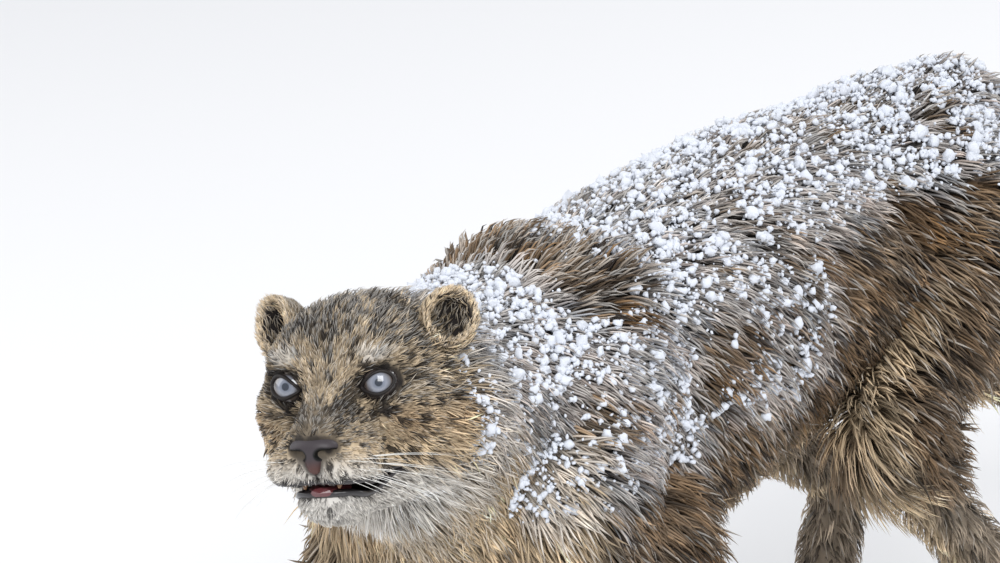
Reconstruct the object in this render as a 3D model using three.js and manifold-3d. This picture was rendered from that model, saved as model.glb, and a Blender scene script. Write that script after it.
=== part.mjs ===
// A snow leopard at life size, as a museum would show it: walking low on four feet through
// deep snow, back arched, head level with the shoulders and turned towards its left.
// The solids are the outside of the winter coat. Long fur on the cheeks, throat, belly, legs
// and tail stands in overlapping locks that are fused to the part they grow from.
//
// Millimetres. +X is the animal's left, -Y is forward, +Z is up, and the floor is z = 0.
import * as THREE from "three";
import { mergeVertices } from "three/addons/utils/BufferGeometryUtils.js";
import Module from "manifold-3d";

const wasm = await Module();
wasm.setup();

// Driving dimensions of an adult male in winter coat.
const GAP = 0.3; // between neighbouring solids
const WITHERS = 565; // height of the back over the shoulder blades
const BODY_SHIFT = -343; // moves the model along Y so that the origin is under its middle
const CHEST_WIDTH = 252;
const CHEST_DEPTH = 320;
const RUMP_WIDTH = 226;
const HEAD_TURN = 20; // degrees towards its left
const HEAD_LIFT = 12; // degrees, nose up
const HEAD_ROLL = 9; // degrees, left side up
const HEAD_CENTRE = [33, -412, 508];
const EYE_RADIUS = 17;
const EYE_SPREAD = 38; // from the middle of the face to each eye
const PAW_WIDTH = 92;
const WRIST_HEIGHT = 64; // level of the joint between each paw and its leg
const TAIL_RADIUS = 54;

const V = (x, y, z) => new THREE.Vector3(x, y, z);
const rad = THREE.MathUtils.degToRad;
const mix = THREE.MathUtils.lerp;
const clamp = THREE.MathUtils.clamp;

// Shapes of flesh. Each is a rounded form with a blend: how softly it melts into the forms
// that come before it in a list. A ball is an ellipsoid, tipped nose-down by tilt degrees.
// A bar is a round bar from a to b, and flat is its sideways thickness as a share of its depth.
const ball = (centre, radii, blend, tilt = 0) => ({
  centre, radii, blend, cos: Math.cos(rad(tilt)), sin: Math.sin(rad(tilt)),
});
const bar = (a, b, ra, rb, blend, flat = 1) => ({
  a, b, ra, rb, blend, flat, span: b.clone().sub(a), length2: a.distanceToSquared(b),
});

function distanceTo(shape, p) {
  if (shape.a) {
    const { a, span } = shape;
    const x = p.x - a.x, y = p.y - a.y, z = p.z - a.z;
    const t = clamp((x * span.x + y * span.y + z * span.z) / shape.length2, 0, 1);
    const qx = (x - span.x * t) / shape.flat;
    return Math.hypot(qx, y - span.y * t, z - span.z * t) - mix(shape.ra, shape.rb, t);
  }
  const { centre, radii, cos, sin } = shape;
  const x = p.x - centre.x, y0 = p.y - centre.y, z0 = p.z - centre.z;
  const y = y0 * cos - z0 * sin, z = y0 * sin + z0 * cos;
  const k = Math.hypot(x / radii[0], y / radii[1], z / radii[2]);
  const g = Math.hypot(x / radii[0] ** 2, y / radii[1] ** 2, z / radii[2] ** 2);
  return g < 1e-6 ? -Math.min(...radii) : (k * (k - 1)) / g;
}

const soften = (d, e, blend) => {
  const h = Math.max(blend - Math.abs(d - e), 0) / blend;
  return Math.min(d, e) - (h * h * blend) / 4;
};
const blended = ([first, ...rest]) => (p) =>
  rest.reduce((d, shape) => soften(d, distanceTo(shape, p), shape.blend), distanceTo(first, p));

// Torso: chest, ribs, arched loin and rump, with the shoulder hump and brisket.
const chestMiddle = WITHERS - CHEST_DEPTH / 2 + 7;
const torsoShapes = [
  ball(V(0, -90, chestMiddle), [CHEST_WIDTH / 2, 215, CHEST_DEPTH / 2], 60),
  ball(V(0, 45, chestMiddle + 28), [CHEST_WIDTH / 2 + 4, 190, CHEST_DEPTH / 2 - 4], 60),
  ball(V(0, 190, chestMiddle + 52), [122, 190, 146], 60),
  ball(V(0, 352, chestMiddle + 80), [RUMP_WIDTH / 2, 142, 118], 60, -12),
  ball(V(0, -235, chestMiddle - 62), [92, 88, 98], 50),
];
const throatShapes = [
  bar(V(0, -190, chestMiddle + 38), V(20, -330, 476), 110, 92, 50),
  bar(V(0, -255, 392), V(24, -366, 438), 78, 62, 40),
];

// Legs, from joint to joint. The left foreleg carries weight, the right one reaches forward,
// the left hind leg is drawn up under the belly and the right one pushes off behind.
const foreLeft = {
  side: 1, blade: V(62, -118, 500), shoulder: V(95, -205, 385), elbow: V(112, -118, 228),
  wrist: V(107, -122, 72), paw: V(104, -150, 0),
};
const foreRight = {
  side: -1, blade: V(-62, -135, 498), shoulder: V(-93, -252, 372), elbow: V(-107, -248, 205),
  wrist: V(-99, -352, 78), paw: V(-96, -396, 0),
};
const hindLeft = {
  side: 1, hip: V(86, 388, 466), knee: V(116, 214, 326), hock: V(110, 372, 160),
  ball: V(108, 322, 50), paw: V(108, 290, 0),
};
const hindRight = {
  side: -1, hip: V(-86, 388, 466), knee: V(-118, 264, 294), hock: V(-112, 454, 168),
  ball: V(-110, 428, 50), paw: V(-110, 396, 0),
};

const TOE_SPREAD = [-0.34, -0.12, 0.12, 0.34]; // of the paw's width
const TOE_REACH = [38, 51, 51, 38];
const TOE = [15, 26, 21];
const pawShapes = (paw) => [
  ball(V(paw.x, paw.y + 8, 30), [PAW_WIDTH * 0.46, 50, 40], 16),
  ...TOE_SPREAD.map((s, i) => ball(V(paw.x + s * PAW_WIDTH, paw.y - TOE_REACH[i], 19), TOE, 8)),
];
const foreShapes = (leg) => [
  bar(leg.blade, leg.shoulder, 50, 62, 55, 0.8),
  bar(leg.shoulder, leg.elbow, 62, 45, 40, 0.85),
  ball(V(leg.elbow.x - 8 * leg.side, leg.elbow.y + 10, leg.elbow.z + 72), [42, 70, 84], 40, 10),
  bar(leg.elbow, leg.wrist, 50, 37, 26, 0.88),
  bar(leg.wrist, V(leg.paw.x, leg.paw.y + 18, 40), 38, 36, 18),
  ...pawShapes(leg.paw),
];
function hindShapes(leg) {
  const thigh = leg.hip.clone().lerp(leg.knee, 0.42);
  const calf = leg.knee.clone().lerp(leg.hock, 0.3);
  return [
    bar(leg.hip, leg.knee, 88, 58, 50, 0.66),
    ball(V(thigh.x - 4 * leg.side, thigh.y + 62, thigh.z - 18), [50, 84, 92], 45, -30),
    bar(leg.knee, leg.hock, 58, 35, 34, 0.8),
    ball(V(calf.x, calf.y + 22, calf.z + 6), [38, 50, 62], 30, 40),
    bar(leg.hock, leg.ball, 36, 35, 18, 0.9),
    ...pawShapes(leg.paw),
  ];
}

// Tail: thick and bushy to its end, trailing low and curling up behind.
const tailLine = new THREE.CatmullRomCurve3([
  V(0, 458, 548), V(2, 545, 500), V(6, 632, 398), V(14, 722, 286), V(26, 838, 205),
  V(40, 962, 184), V(52, 1078, 214), V(58, 1158, 286), V(60, 1192, 378),
]);
const tailRadius = (t) => TAIL_RADIUS * (0.86 + 0.2 * Math.sin(Math.PI * clamp(t * 1.15, 0, 1)));
const TAIL_START = 0.06; // share of the tail's line where the rump ends
const tailCutAt = (t) => [tailLine.getPointAt(t), tailLine.getTangentAt(t)];
const tailRootShapes = [
  bar(tailLine.getPointAt(0), tailLine.getPointAt(0.12), 60, tailRadius(0.1), 45),
];

// Head, in a frame of its own. at(left, fore, up) is a point measured from the middle of the skull.
const at = (left, fore, up) => V(left, -fore, up);
const both = (make) => [make(1), make(-1)];
const skullShapes = [
  ball(at(0, -12, 22), [77, 84, 66], 20),
  ball(at(0, 36, 27), [57, 38, 40], 26),
  ball(at(0, -66, -4), [82, 46, 78], 40),
  ...both((s) => ball(at(44 * s, -4, -28), [42, 54, 50], 26)),
  ...both((s) => ball(at(48 * s, 36, -8), [27, 34, 24], 22)),
  ...both((s) => ball(at(35 * s, 55, 37), [22, 18, 12], 16)),
  bar(at(0, 48, 26), at(0, 108, -23), 24, 19, 18),
  ball(at(0, 80, -40), [44, 42, 34], 18),
  ...both((s) => ball(at(23 * s, 99, -48), [26, 27, 20], 9)),
];
const jawShapes = [
  ...both((s) => bar(at(32 * s, 6, -62), at(10 * s, 74, -76), 27, 19, 20)),
  ball(at(0, 82, -78), [26, 26, 18], 16),
];
const eyeCentre = (s) => at(EYE_SPREAD * s, 56, 14);
const socketShapes = both((s) => ball(at((EYE_SPREAD + 3) * s, 80, 12), [16, 14, 10], 8));
const headShapes = [...skullShapes, ...jawShapes];
const skin = blended(headShapes);
const sockets = blended(socketShapes);
const headField = (p) => -soften(-skin(p), sockets(p), 10);

const headFrame = new THREE.Matrix4().compose(
  V(...HEAD_CENTRE),
  new THREE.Quaternion().setFromEuler(
    new THREE.Euler(rad(-HEAD_LIFT), rad(-HEAD_ROLL), rad(HEAD_TURN), "ZXY")),
  V(1, 1, 1),
);
const intoHead = headFrame.clone().invert();

const torsoField = blended([...torsoShapes, ...throatShapes, ...tailRootShapes]);
const bodyField = blended([
  ...torsoShapes, ...throatShapes, ...tailRootShapes,
  ...foreShapes(foreLeft), ...foreShapes(foreRight), ...hindShapes(hindLeft), ...hindShapes(hindRight),
]);
const wholeField = (p) => soften(bodyField(p), headField(p.clone().applyMatrix4(intoHead)), 30);

// Lofting. A ring is a set of rays from one point of a limb's middle line to the skin. Its lift
// turns a flat ring into a cone, and at 90 degrees it closes the end in a point.
function ringAt(centre, normal, lift = 0) {
  const n = normal.clone().normalize();
  const u = V(1, 0, 0).addScaledVector(n, -n.x).normalize();
  return { centre, n, u, v: n.clone().cross(u), lift: rad(lift) };
}
const dome = (centre, normal, lifts) => lifts.map((lift) => ringAt(centre, normal, lift));
// Rings along a smooth line through points, facing from one given direction to another.
function ringsAlong(points, from, to, shares) {
  const line = new THREE.CatmullRomCurve3(points);
  const [first, final] = [from.clone().normalize(), to.clone().normalize()];
  return shares.map((t) => ringAt(line.getPoint(t), first.clone().lerp(final, t)));
}
const evenly = (count, from = 0, to = 1) =>
  Array.from({ length: count }, (_, i) => mix(from, to, i / (count - 1)));

const RAY_STEP = 5;
const RAY_LIMIT = 420;
const HALVINGS = 12;
function reach(field, from, direction) {
  let inside = 0;
  let outside = RAY_STEP;
  const p = V(0, 0, 0);
  const value = (r) => field(p.copy(from).addScaledVector(direction, r));
  while (outside < RAY_LIMIT && value(outside) < 0) {
    inside = outside;
    outside += RAY_STEP;
  }
  for (let i = 0; i < HALVINGS; i++) {
    const middle = (inside + outside) / 2;
    if (value(middle) < 0) inside = middle;
    else outside = middle;
  }
  return inside;
}

function closedGeometry(points, faces) {
  const geometry = new THREE.BufferGeometry()
    .setAttribute("position", new THREE.Float32BufferAttribute(points.flatMap((p) => p.toArray()), 3));
  let volume = 0;
  for (const [a, b, c] of faces) volume += points[a].dot(points[b].clone().cross(points[c]));
  return geometry.setIndex((volume < 0 ? faces.map(([a, b, c]) => [a, c, b]) : faces).flat());
}

function loft(rings, sides, field) {
  const points = [];
  const faces = [];
  const starts = [];
  const isPole = (ring) => Math.abs(Math.cos(ring.lift)) < 1e-6;
  for (const ring of rings) {
    starts.push(points.length);
    for (let i = 0; i < (isPole(ring) ? 1 : sides); i++) {
      const angle = (2 * Math.PI * (i + 0.5)) / sides;
      const direction = ring.u.clone().multiplyScalar(Math.cos(angle) * Math.cos(ring.lift))
        .addScaledVector(ring.v, Math.sin(angle) * Math.cos(ring.lift))
        .addScaledVector(ring.n, Math.sin(ring.lift));
      points.push(ring.centre.clone().addScaledVector(direction, reach(field, ring.centre, direction)));
    }
  }
  const pairOn = (k, i) => (isPole(rings[k])
    ? [starts[k], starts[k]]
    : [starts[k] + i, starts[k] + ((i + 1) % sides)]);
  for (let k = 0; k + 1 < rings.length; k++) {
    for (let i = 0; i < sides; i++) {
      const [a, b] = pairOn(k, i);
      const [c, d] = pairOn(k + 1, i);
      if (a !== b) faces.push([a, b, c]);
      if (c !== d) faces.push([b, d, c]);
    }
  }
  const cap = (k, reverse) => {
    if (isPole(rings[k])) return;
    const middle = points.push(rings[k].centre) - 1;
    for (let i = 0; i < sides; i++) {
      const [a, b] = pairOn(k, i);
      faces.push(reverse ? [b, a, middle] : [a, b, middle]);
    }
  };
  cap(0, true);
  cap(rings.length - 1, false);
  return solid(closedGeometry(points, faces));
}

// Joining and cutting.
function solid(geometry) {
  const bare = new THREE.BufferGeometry().setAttribute("position", geometry.getAttribute("position"));
  bare.setIndex(geometry.getIndex());
  const merged = mergeVertices(bare, 1e-4);
  const index = merged.index.array;
  const kept = [];
  for (let i = 0; i < index.length; i += 3) {
    const [a, b, c] = [index[i], index[i + 1], index[i + 2]];
    if (a !== b && b !== c && c !== a) kept.push(a, b, c);
  }
  return new wasm.Manifold(new wasm.Mesh({
    numProp: 3,
    vertProperties: new Float32Array(merged.attributes.position.array),
    triVerts: new Uint32Array(kept),
  }));
}
const moved = (geometry, matrix) => solid(geometry.clone().applyMatrix4(matrix));
const joined = (first, ...rest) => rest.reduce((sum, next) => sum.add(next), first);
const largest = (made) => made.decompose().sort((a, b) => b.volume() - a.volume())[0];
const FAR = 1500;
// Everything on the far side of a plane, as a box.
function beyond(point, normal, gap = 0) {
  const n = normal.clone().normalize();
  const turn = new THREE.Quaternion().setFromUnitVectors(V(0, 0, 1), n);
  const centre = point.clone().addScaledVector(n, FAR / 2 + gap);
  const matrix = new THREE.Matrix4().compose(centre, turn, V(1, 1, 1));
  return moved(new THREE.BoxGeometry(FAR, FAR, FAR), matrix);
}

// The space that belongs to a leg where it lies on the body: an outline round some circles
// [y, z, radius], seen from the side, that runs outwards from the plane x = inner.
const CIRCLE_SIDES = 16;
const roundTheCircle = evenly(CIRCLE_SIDES + 1, 0, 2 * Math.PI).slice(1);
function hullOf(circles, grow) {
  const points = circles.flatMap(([y, z, r]) =>
    roundTheCircle.map((a) => [y + (r + grow) * Math.cos(a), z + (r + grow) * Math.sin(a)]));
  points.sort((a, b) => a[0] - b[0] || a[1] - b[1]);
  const half = (list) => list.reduce((h, p) => {
    const turnsIn = () => {
      const [a, b] = h.slice(-2);
      return (b[0] - a[0]) * (p[1] - a[1]) - (b[1] - a[1]) * (p[0] - a[0]) <= 0;
    };
    while (h.length > 1 && turnsIn()) h.pop();
    return [...h, p];
  }, []).slice(0, -1);
  return [...half(points), ...half(points.reverse())];
}
function territory(side, inner, circles) {
  const outline = hullOf(circles, 0);
  const field = (p) => {
    let d = inner - side * p.x;
    outline.forEach(([y, z], i) => {
      const [y2, z2] = outline[(i + 1) % outline.length];
      const length = Math.hypot(y2 - y, z2 - z);
      d = Math.max(d, ((p.y - y) * (z2 - z) - (p.z - z) * (y2 - y)) / length);
    });
    return d;
  };
  const block = (grow) => {
    const shape = new THREE.Shape(hullOf(circles, grow).map(([y, z]) => new THREE.Vector2(y, z)));
    const outward = new THREE.ExtrudeGeometry(shape, { depth: FAR, bevelEnabled: false });
    // the shape's own axes become Y and Z, and its depth runs towards +X
    outward.applyMatrix4(new THREE.Matrix4().makeBasis(V(0, 1, 0), V(0, 0, 1), V(1, 0, 0)));
    outward.translate(inner - grow, 0, 0);
    if (side < 0) outward.applyMatrix4(new THREE.Matrix4().makeRotationZ(Math.PI).scale(V(1, -1, 1)));
    const made = outward.getIndex() ? outward : mergeVertices(stripped(outward));
    return solid(side < 0 ? reversed(made) : made);
  };
  return { field, block };
}
function stripped(geometry) {
  return new THREE.BufferGeometry().setAttribute("position", geometry.getAttribute("position"));
}
function reversed(geometry) {
  const index = geometry.getIndex().array;
  for (let i = 0; i < index.length; i += 3) {
    [index[i + 1], index[i + 2]] = [index[i + 2], index[i + 1]];
  }
  return geometry;
}

const CUT_MARGIN = 10; // a loft runs this far past its cuts
const grown = (field, grow) => (grow ? (p) => field(p) - grow : field);
const apart = (point, normal, gap) => point.clone().addScaledVector(normal, gap);
const down = V(0, 0, -1);
const up = V(0, 0, 1);
const back = V(0, 1, 0);

// Locks of long fur: flat, tapered and bent, with the root sunk into the part. Each follows the
// skin from its root along its lie, and lifts off it towards the tip.
let seed = 1;
function random(from, to) {
  seed = (seed * 16807) % 2147483647;
  return mix(from, to, seed / 2147483647);
}
function normalOf(field, p) {
  const slope = (axis) => field(p.clone().add(axis)) - field(p.clone().sub(axis));
  return V(slope(V(2, 0, 0)), slope(V(0, 2, 0)), slope(V(0, 0, 2))).normalize();
}
const LOCK_STATIONS = [0, 0.42, 0.76];
const LOCK_WIDTHS = [0.8, 1, 0.62];
const LOCK_FLATNESS = 0.42;
const MOST_BEND = 0.9; // radians between one station and the next, or the lock is left out
const LONGEST_STEP = 0.7; // of the lock's length, for the same reason
const LOCK_GAP = 0.8; // kept clear round a lock that crosses a neighbouring part
function lock(field, root, lie, { length, width, lift, sink = 9 }, grow = 0) {
  const points = [];
  const faces = [];
  const p = root.clone();
  let last = 0;
  let straight = true;
  let before = null;
  const walk = (t, height) => {
    const n = normalOf(field, p);
    const along = lie.clone().addScaledVector(n, -lie.dot(n)).normalize();
    const here = p.clone();
    p.addScaledVector(along, length * (t - last));
    p.addScaledVector(normalOf(field, p), height - field(p));
    const step = p.clone().sub(here);
    const bent = before && step.angleTo(before) > MOST_BEND;
    if (t > 0 && (bent || step.length() > length * LONGEST_STEP)) straight = false;
    before = t > 0 ? step : null;
    last = t;
    return { n, along };
  };
  LOCK_STATIONS.forEach((t, k) => {
    const { n, along } = walk(t, mix(-sink, lift, t ** 1.5));
    const side = n.clone().cross(along).multiplyScalar((width / 2) * LOCK_WIDTHS[k] + grow);
    const thick = n.clone().multiplyScalar((width / 2) * LOCK_WIDTHS[k] * LOCK_FLATNESS + grow);
    const middle = k ? p : apart(p, along, -2 * grow);
    points.push(...[side, thick].map((e) => middle.clone().add(e)));
    points.push(...[side, thick].map((e) => middle.clone().sub(e)));
  });
  const { along } = walk(1, lift);
  const tip = points.push(apart(p, along, grow)) - 1;
  for (let i = 0; i < 4; i++) {
    const j = (i + 1) % 4;
    for (const k of [0, 4]) faces.push([k + i, k + j, k + 4 + i], [k + j, k + 4 + j, k + 4 + i]);
    faces.push([8 + i, 8 + j, tip]);
  }
  faces.push([0, 2, 1], [0, 3, 2]);
  return straight ? solid(closedGeometry(points, faces)) : null;
}
// Locks in rings round a middle line. Each ring gives a centre, the lie of its hair, and the
// angles at which locks grow, measured round its axis from the direction zero.
function lockRings(field, rings, firstSeed, grow = 0) {
  seed = firstSeed;
  const made = [];
  for (const { centre, axis, zero, angles, lie, ...size } of rings) {
    const right = axis.clone().cross(zero).normalize();
    const low = right.clone().cross(axis).normalize();
    for (const angle of angles) {
      const a = rad(angle + random(-5, 5));
      const out = low.clone().multiplyScalar(Math.cos(a)).addScaledVector(right, Math.sin(a));
      const from = apart(centre, axis, random(-6, 6));
      const root = apart(from, out, reach(field, from, out));
      const sway = V(random(-0.18, 0.18), random(-0.18, 0.18), random(-0.1, 0.1));
      const length = size.length * random(0.85, 1.15);
      const width = size.width * random(0.88, 1.12);
      const way = lie.clone().normalize().add(sway);
      const one = lock(field, root, way, { ...size, length, width }, grow);
      if (one) made.push(one);
    }
  }
  return made;
}

// A leg's space on the body stops at the plane of the joint where its next part begins.
const yz = (p, r) => [p.y, p.z, r];
function jointPlane(before, joint, after, shift = V(0, 0, 0)) {
  const normal = joint.clone().sub(before).normalize();
  normal.add(after.clone().sub(joint).normalize());
  return [joint.clone().add(shift), normal.normalize()];
}
const KNEE_SHIFT = V(0, 34, 0);
const FORE_INNER = 56; // how far from the middle of the body a leg's space begins
const HIND_INNER = 42;
const legSpace = (side, inner, circles, plane) => {
  const space = territory(side, inner, circles);
  const block = (grow) => space.block(grow).subtract(beyond(...plane, grow - GAP / 2));
  return { field: space.field, plane, block };
};
const foreSpace = (leg) => legSpace(
  leg.side, FORE_INNER,
  [yz(leg.blade, 44), yz(leg.shoulder, 84), yz(leg.elbow, 74)],
  jointPlane(leg.shoulder, leg.elbow, leg.wrist));
const hindSpace = (leg) => legSpace(
  leg.side, HIND_INNER,
  [yz(leg.hip, 98), yz(leg.knee, 80), [430, 360, 60]],
  jointPlane(leg.hip, leg.knee, leg.hock, KNEE_SHIFT));
const legs = [
  { leg: foreLeft, end: "left", fore: true, space: foreSpace(foreLeft) },
  { leg: foreRight, end: "right", fore: true, space: foreSpace(foreRight) },
  { leg: hindLeft, end: "left", fore: false, space: hindSpace(hindLeft) },
  { leg: hindRight, end: "right", fore: false, space: hindSpace(hindRight) },
];

const nodes = new Map(); // node name to its solid
const bodyCutters = []; // the parts that lie against the torso or the neck, grown by the gap
const LEG_SIDES = 14;
const PAW_SIDES = 24;
const TRUNK_SIDES = 26;
const TOP_DOME = [-90, -62, -36, -14];

// Upper legs fill their spaces on the body, and their locks hang free over what is behind and
// below. The rest of a leg is lofted from joint to joint.
const mirrored = (angles) => [...angles.map((a) => -a).reverse(), ...angles];
const along = (a, b, shares) => shares.map((t) => a.clone().lerp(b, t));
function upperLocks({ leg, fore }, grow) {
  const centres = fore
    ? along(leg.shoulder, leg.elbow, [0.3, 0.75])
    : along(leg.hip, leg.knee, [0.3, 0.7]);
  return lockRings(wholeField, centres.map((centre) => ({
    centre: centre.add(V(0, fore ? 0 : 30, 0)), axis: V(0.01, 0, -1), zero: back,
    angles: (fore ? [56, 96] : [28, 60, 96]).map((a) => a * leg.side),
    lie: V(0, 0.35, -1), length: fore ? 66 : 78, width: 32, lift: 12,
  })), fore ? 11 : 12, grow);
}
function legUpper(name, each) {
  const { leg, space, fore } = each;
  const start = (fore ? leg.blade : leg.hip).clone().setX(leg.side * (fore ? 92 : 88));
  const lowest = fore
    ? leg.shoulder.clone().lerp(leg.elbow, 0.1)
    : leg.hip.clone().lerp(leg.knee, 0.45);
  const middle = fore ? lowest : lowest.add(V(0, 22, 0));
  const [joint, normal] = space.plane;
  const field = (p) => Math.max(wholeField(p), space.field(p) - CUT_MARGIN);
  const first = middle.clone().sub(start);
  const rings = [
    ...dome(start, first, TOP_DOME),
    ...ringsAlong([start, middle, joint], first, normal, evenly(8)),
  ];
  const made = loft(rings, LEG_SIDES, field).intersect(space.block(0));
  nodes.set(name, largest(joined(made, ...upperLocks(each, 0))));
  bodyCutters.push(joined(...upperLocks(each, LOCK_GAP)));
}
function legPart(name, points, from, to, count, legField, over = []) {
  const field = (p) => Math.max(wholeField(p), legField(p) - 8);
  const build = (grow) => {
    const rings = ringsAlong(points, from, to, evenly(count));
    if (grow) {
      rings.unshift(ringAt(apart(points[0], from, -4 * grow), from));
      rings.push(ringAt(apart(points[2], to, 4 * grow), to));
    }
    return loft(rings, LEG_SIDES, grown(field, grow));
  };
  nodes.set(name, largest(over.reduce((left, cutter) => left.subtract(cutter), build(0))));
  bodyCutters.push(build(GAP));
}
const PAW_LEVELS = [0, 7, 16, 28, 42, WRIST_HEIGHT - GAP];
const PAW_LEAN = 22; // how far back its middle line runs from the sole to the wrist
function paw(name, place) {
  const leanAt = (z) => PAW_LEAN * (z / WRIST_HEIGHT) ** 2 - 6;
  const rings = PAW_LEVELS.map((z) => ringAt(V(place.x, place.y + leanAt(z), z), up));
  nodes.set(name, loft(rings, PAW_SIDES, wholeField));
}
for (const each of legs) {
  const { leg, end, fore, space } = each;
  const legField = blended(fore ? foreShapes(leg) : hindShapes(leg));
  const [joint, normal] = space.plane;
  legUpper(`${fore ? "shoulder" : "thigh"}_${end}`, each);
  if (fore) {
    const wrist = V(leg.wrist.x, mix(leg.wrist.y, leg.paw.y + 18, 0.25), WRIST_HEIGHT);
    const middle = leg.elbow.clone().lerp(leg.wrist, 0.5);
    const line = [apart(joint, normal, GAP / 2), middle, wrist];
    legPart(`forearm_${end}`, line, normal, down, 8, legField, upperLocks(each, LOCK_GAP));
    paw(`forepaw_${end}`, leg.paw);
  } else {
    const [hock, hockNormal] = jointPlane(leg.knee, leg.hock, leg.ball);
    const middle = leg.knee.clone().lerp(leg.hock, 0.5);
    const ankle = leg.ball.clone().setZ(WRIST_HEIGHT);
    const shin = [apart(joint, normal, GAP / 2), middle, apart(hock, hockNormal, -GAP / 2)];
    const foot = [apart(hock, hockNormal, GAP / 2), leg.hock.clone().lerp(ankle, 0.5), ankle];
    legPart(`shank_${end}`, shin, normal, hockNormal, 8, legField, upperLocks(each, LOCK_GAP));
    legPart(`hindfoot_${end}`, foot, hockNormal, down, 5, legField);
    paw(`hindpaw_${end}`, leg.paw);
  }
}

// Head. It is made in its own frame and then turned into place.
const forward = at(0, 1, 0);
const HEAD_BACK = -60; // the plane that parts the head from the neck
const MUZZLE_MIDDLE = at(0, 76, -34);
const headRings = [
  ...evenly(8, HEAD_BACK + GAP / 2, 20).map((f) => ringAt(at(0, f, mix(8, -10, (f + 60) / 80)), forward)),
  ...evenly(9, 26, 76).map((f) => ringAt(at(0, f, mix(-10, -34, (f - 20) / 56)), forward)),
  ...dome(MUZZLE_MIDDLE, forward, [8, 16, 25, 34, 43, 52, 61, 70, 80, 90]),
];
const HEAD_SIDES = 28;
const nearHead = (p) => soften(bodyField(p.clone().applyMatrix4(headFrame)), headField(p), 30);
const headClip = (p) => Math.max(nearHead(p), skin(p) - 16);
const headBlank = loft(headRings, HEAD_SIDES, headClip);

// The mouth is a little open: a wedge from the corners of the lips to the front. A lower jaw
// with its own front edge closes it from below.
function acrossHead(outline) {
  const shape = new THREE.Shape(outline.map(([f, u]) => new THREE.Vector2(f, u)));
  const across = new THREE.ExtrudeGeometry(shape, { depth: 240, bevelEnabled: false });
  across.applyMatrix4(new THREE.Matrix4().makeBasis(V(0, -1, 0), V(0, 0, 1), V(-1, 0, 0)));
  across.translate(120, 0, 0);
  return solid(mergeVertices(stripped(across)));
}
const LIP_CORNER = [50, -58];
const UPPER_LIP = [[72, -58], [96, -62], [150, -62]];
const LOWER_LIP = [[72, -65], [96, -72], [150, -74]];
const mouth = acrossHead([LIP_CORNER, ...UPPER_LIP, ...[...LOWER_LIP].reverse()]);
const jawBlock = (grow) => acrossHead([
  [LIP_CORNER[0] - 3 * grow, LIP_CORNER[1] + grow],
  ...LOWER_LIP.map(([f, u]) => [f, u + grow]),
  [150, -150],
  [30 - grow, -150],
]);
const jaw = headBlank.intersect(jawBlock(0));

// A round rod through points, used for lids, lips and teeth.
function rod(points, radii, sides = 6, closed = false) {
  const curve = new THREE.CatmullRomCurve3(points, closed);
  const count = points.length;
  const corners = [];
  const faces = [];
  const frames = points.map((p, i) => {
    const n = curve.getTangent(i / (closed ? count : count - 1));
    const u = V(0.31, 0.2, 0.93).cross(n).normalize();
    return [u, n.clone().cross(u)];
  });
  points.forEach((p, i) => {
    for (let k = 0; k < sides; k++) {
      const angle = (2 * Math.PI * k) / sides;
      const beside = apart(p, frames[i][0], radii[i] * Math.cos(angle));
      corners.push(apart(beside, frames[i][1], radii[i] * Math.sin(angle)));
    }
  });
  const rows = closed ? count : count - 1;
  for (let i = 0; i < rows; i++) {
    for (let k = 0; k < sides; k++) {
      const [a, b] = [i * sides + k, i * sides + ((k + 1) % sides)];
      const next = ((i + 1) % count) * sides;
      const [c, d] = [next + k, next + ((k + 1) % sides)];
      faces.push([a, b, c], [b, d, c]);
    }
  }
  if (!closed) {
    const [first, final] = [corners.push(points[0]) - 1, corners.push(points.at(-1)) - 1];
    for (let k = 0; k < sides; k++) {
      const j = (k + 1) % sides;
      faces.push([j, k, first], [(count - 1) * sides + k, (count - 1) * sides + j, final]);
    }
  }
  return solid(closedGeometry(corners, faces));
}
function sphere(centre, radii, across = 20, rows = 12) {
  const matrix = new THREE.Matrix4().makeTranslation(centre.x, centre.y, centre.z).scale(V(...radii));
  return moved(new THREE.SphereGeometry(1, across, rows), matrix);
}

// Eyes, with lids that close over them to an almond.
const LID_THICKNESS = 3;
const LID_WIDE = 48; // half the opening, in degrees seen from the middle of the eye
const LID_TALL = 30;
const LID_SLANT = 7; // how far the outer corner stands above the inner one
function lids(s) {
  const axis = at(Math.sin(rad(20)) * s, Math.cos(rad(20)), 0.12).normalize();
  const side = up.clone().cross(axis).normalize();
  const high = axis.clone().cross(side);
  const outer = side.dot(V(s, 0, 0)) > 0 ? 1 : -1;
  const points = evenly(17).slice(1).map((t) => {
    const angle = 2 * Math.PI * t;
    const wide = LID_WIDE * Math.cos(angle) * outer;
    const tall = LID_TALL * Math.sin(angle) + LID_SLANT * Math.cos(angle);
    const aim = axis.clone();
    aim.addScaledVector(side, Math.tan(rad(wide)));
    aim.addScaledVector(high, Math.tan(rad(tall)));
    return apart(eyeCentre(s), aim.normalize(), EYE_RADIUS + 1.6);
  });
  return rod(points, points.map(() => LID_THICKNESS), 6, true);
}
const eyeball = (s, grow = 0) => sphere(eyeCentre(s), Array(3).fill(EYE_RADIUS + grow), 16, 8);

// Nose leather, with a comma-shaped nostril on each side.
const NOSE = at(0, 118, -35);
const noseBlank = (grow = 0) => sphere(NOSE, [19 + grow, 13 + grow, 12 + grow], 12, 8);
const nostrils = both((s) => sphere(at(9.5 * s, 130, -38), [5, 8, 4], 8, 5));

// Teeth that an old cat shows at the front of its open mouth, worn short.
const TOOTH_RADII = [4, 3.2, 1.4];
const tooth = (s, f, u, length) =>
  rod(evenly(3).map((t) => at(15 * s, f + 3 * t, u - length * t)), TOOTH_RADII, 6);

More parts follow.
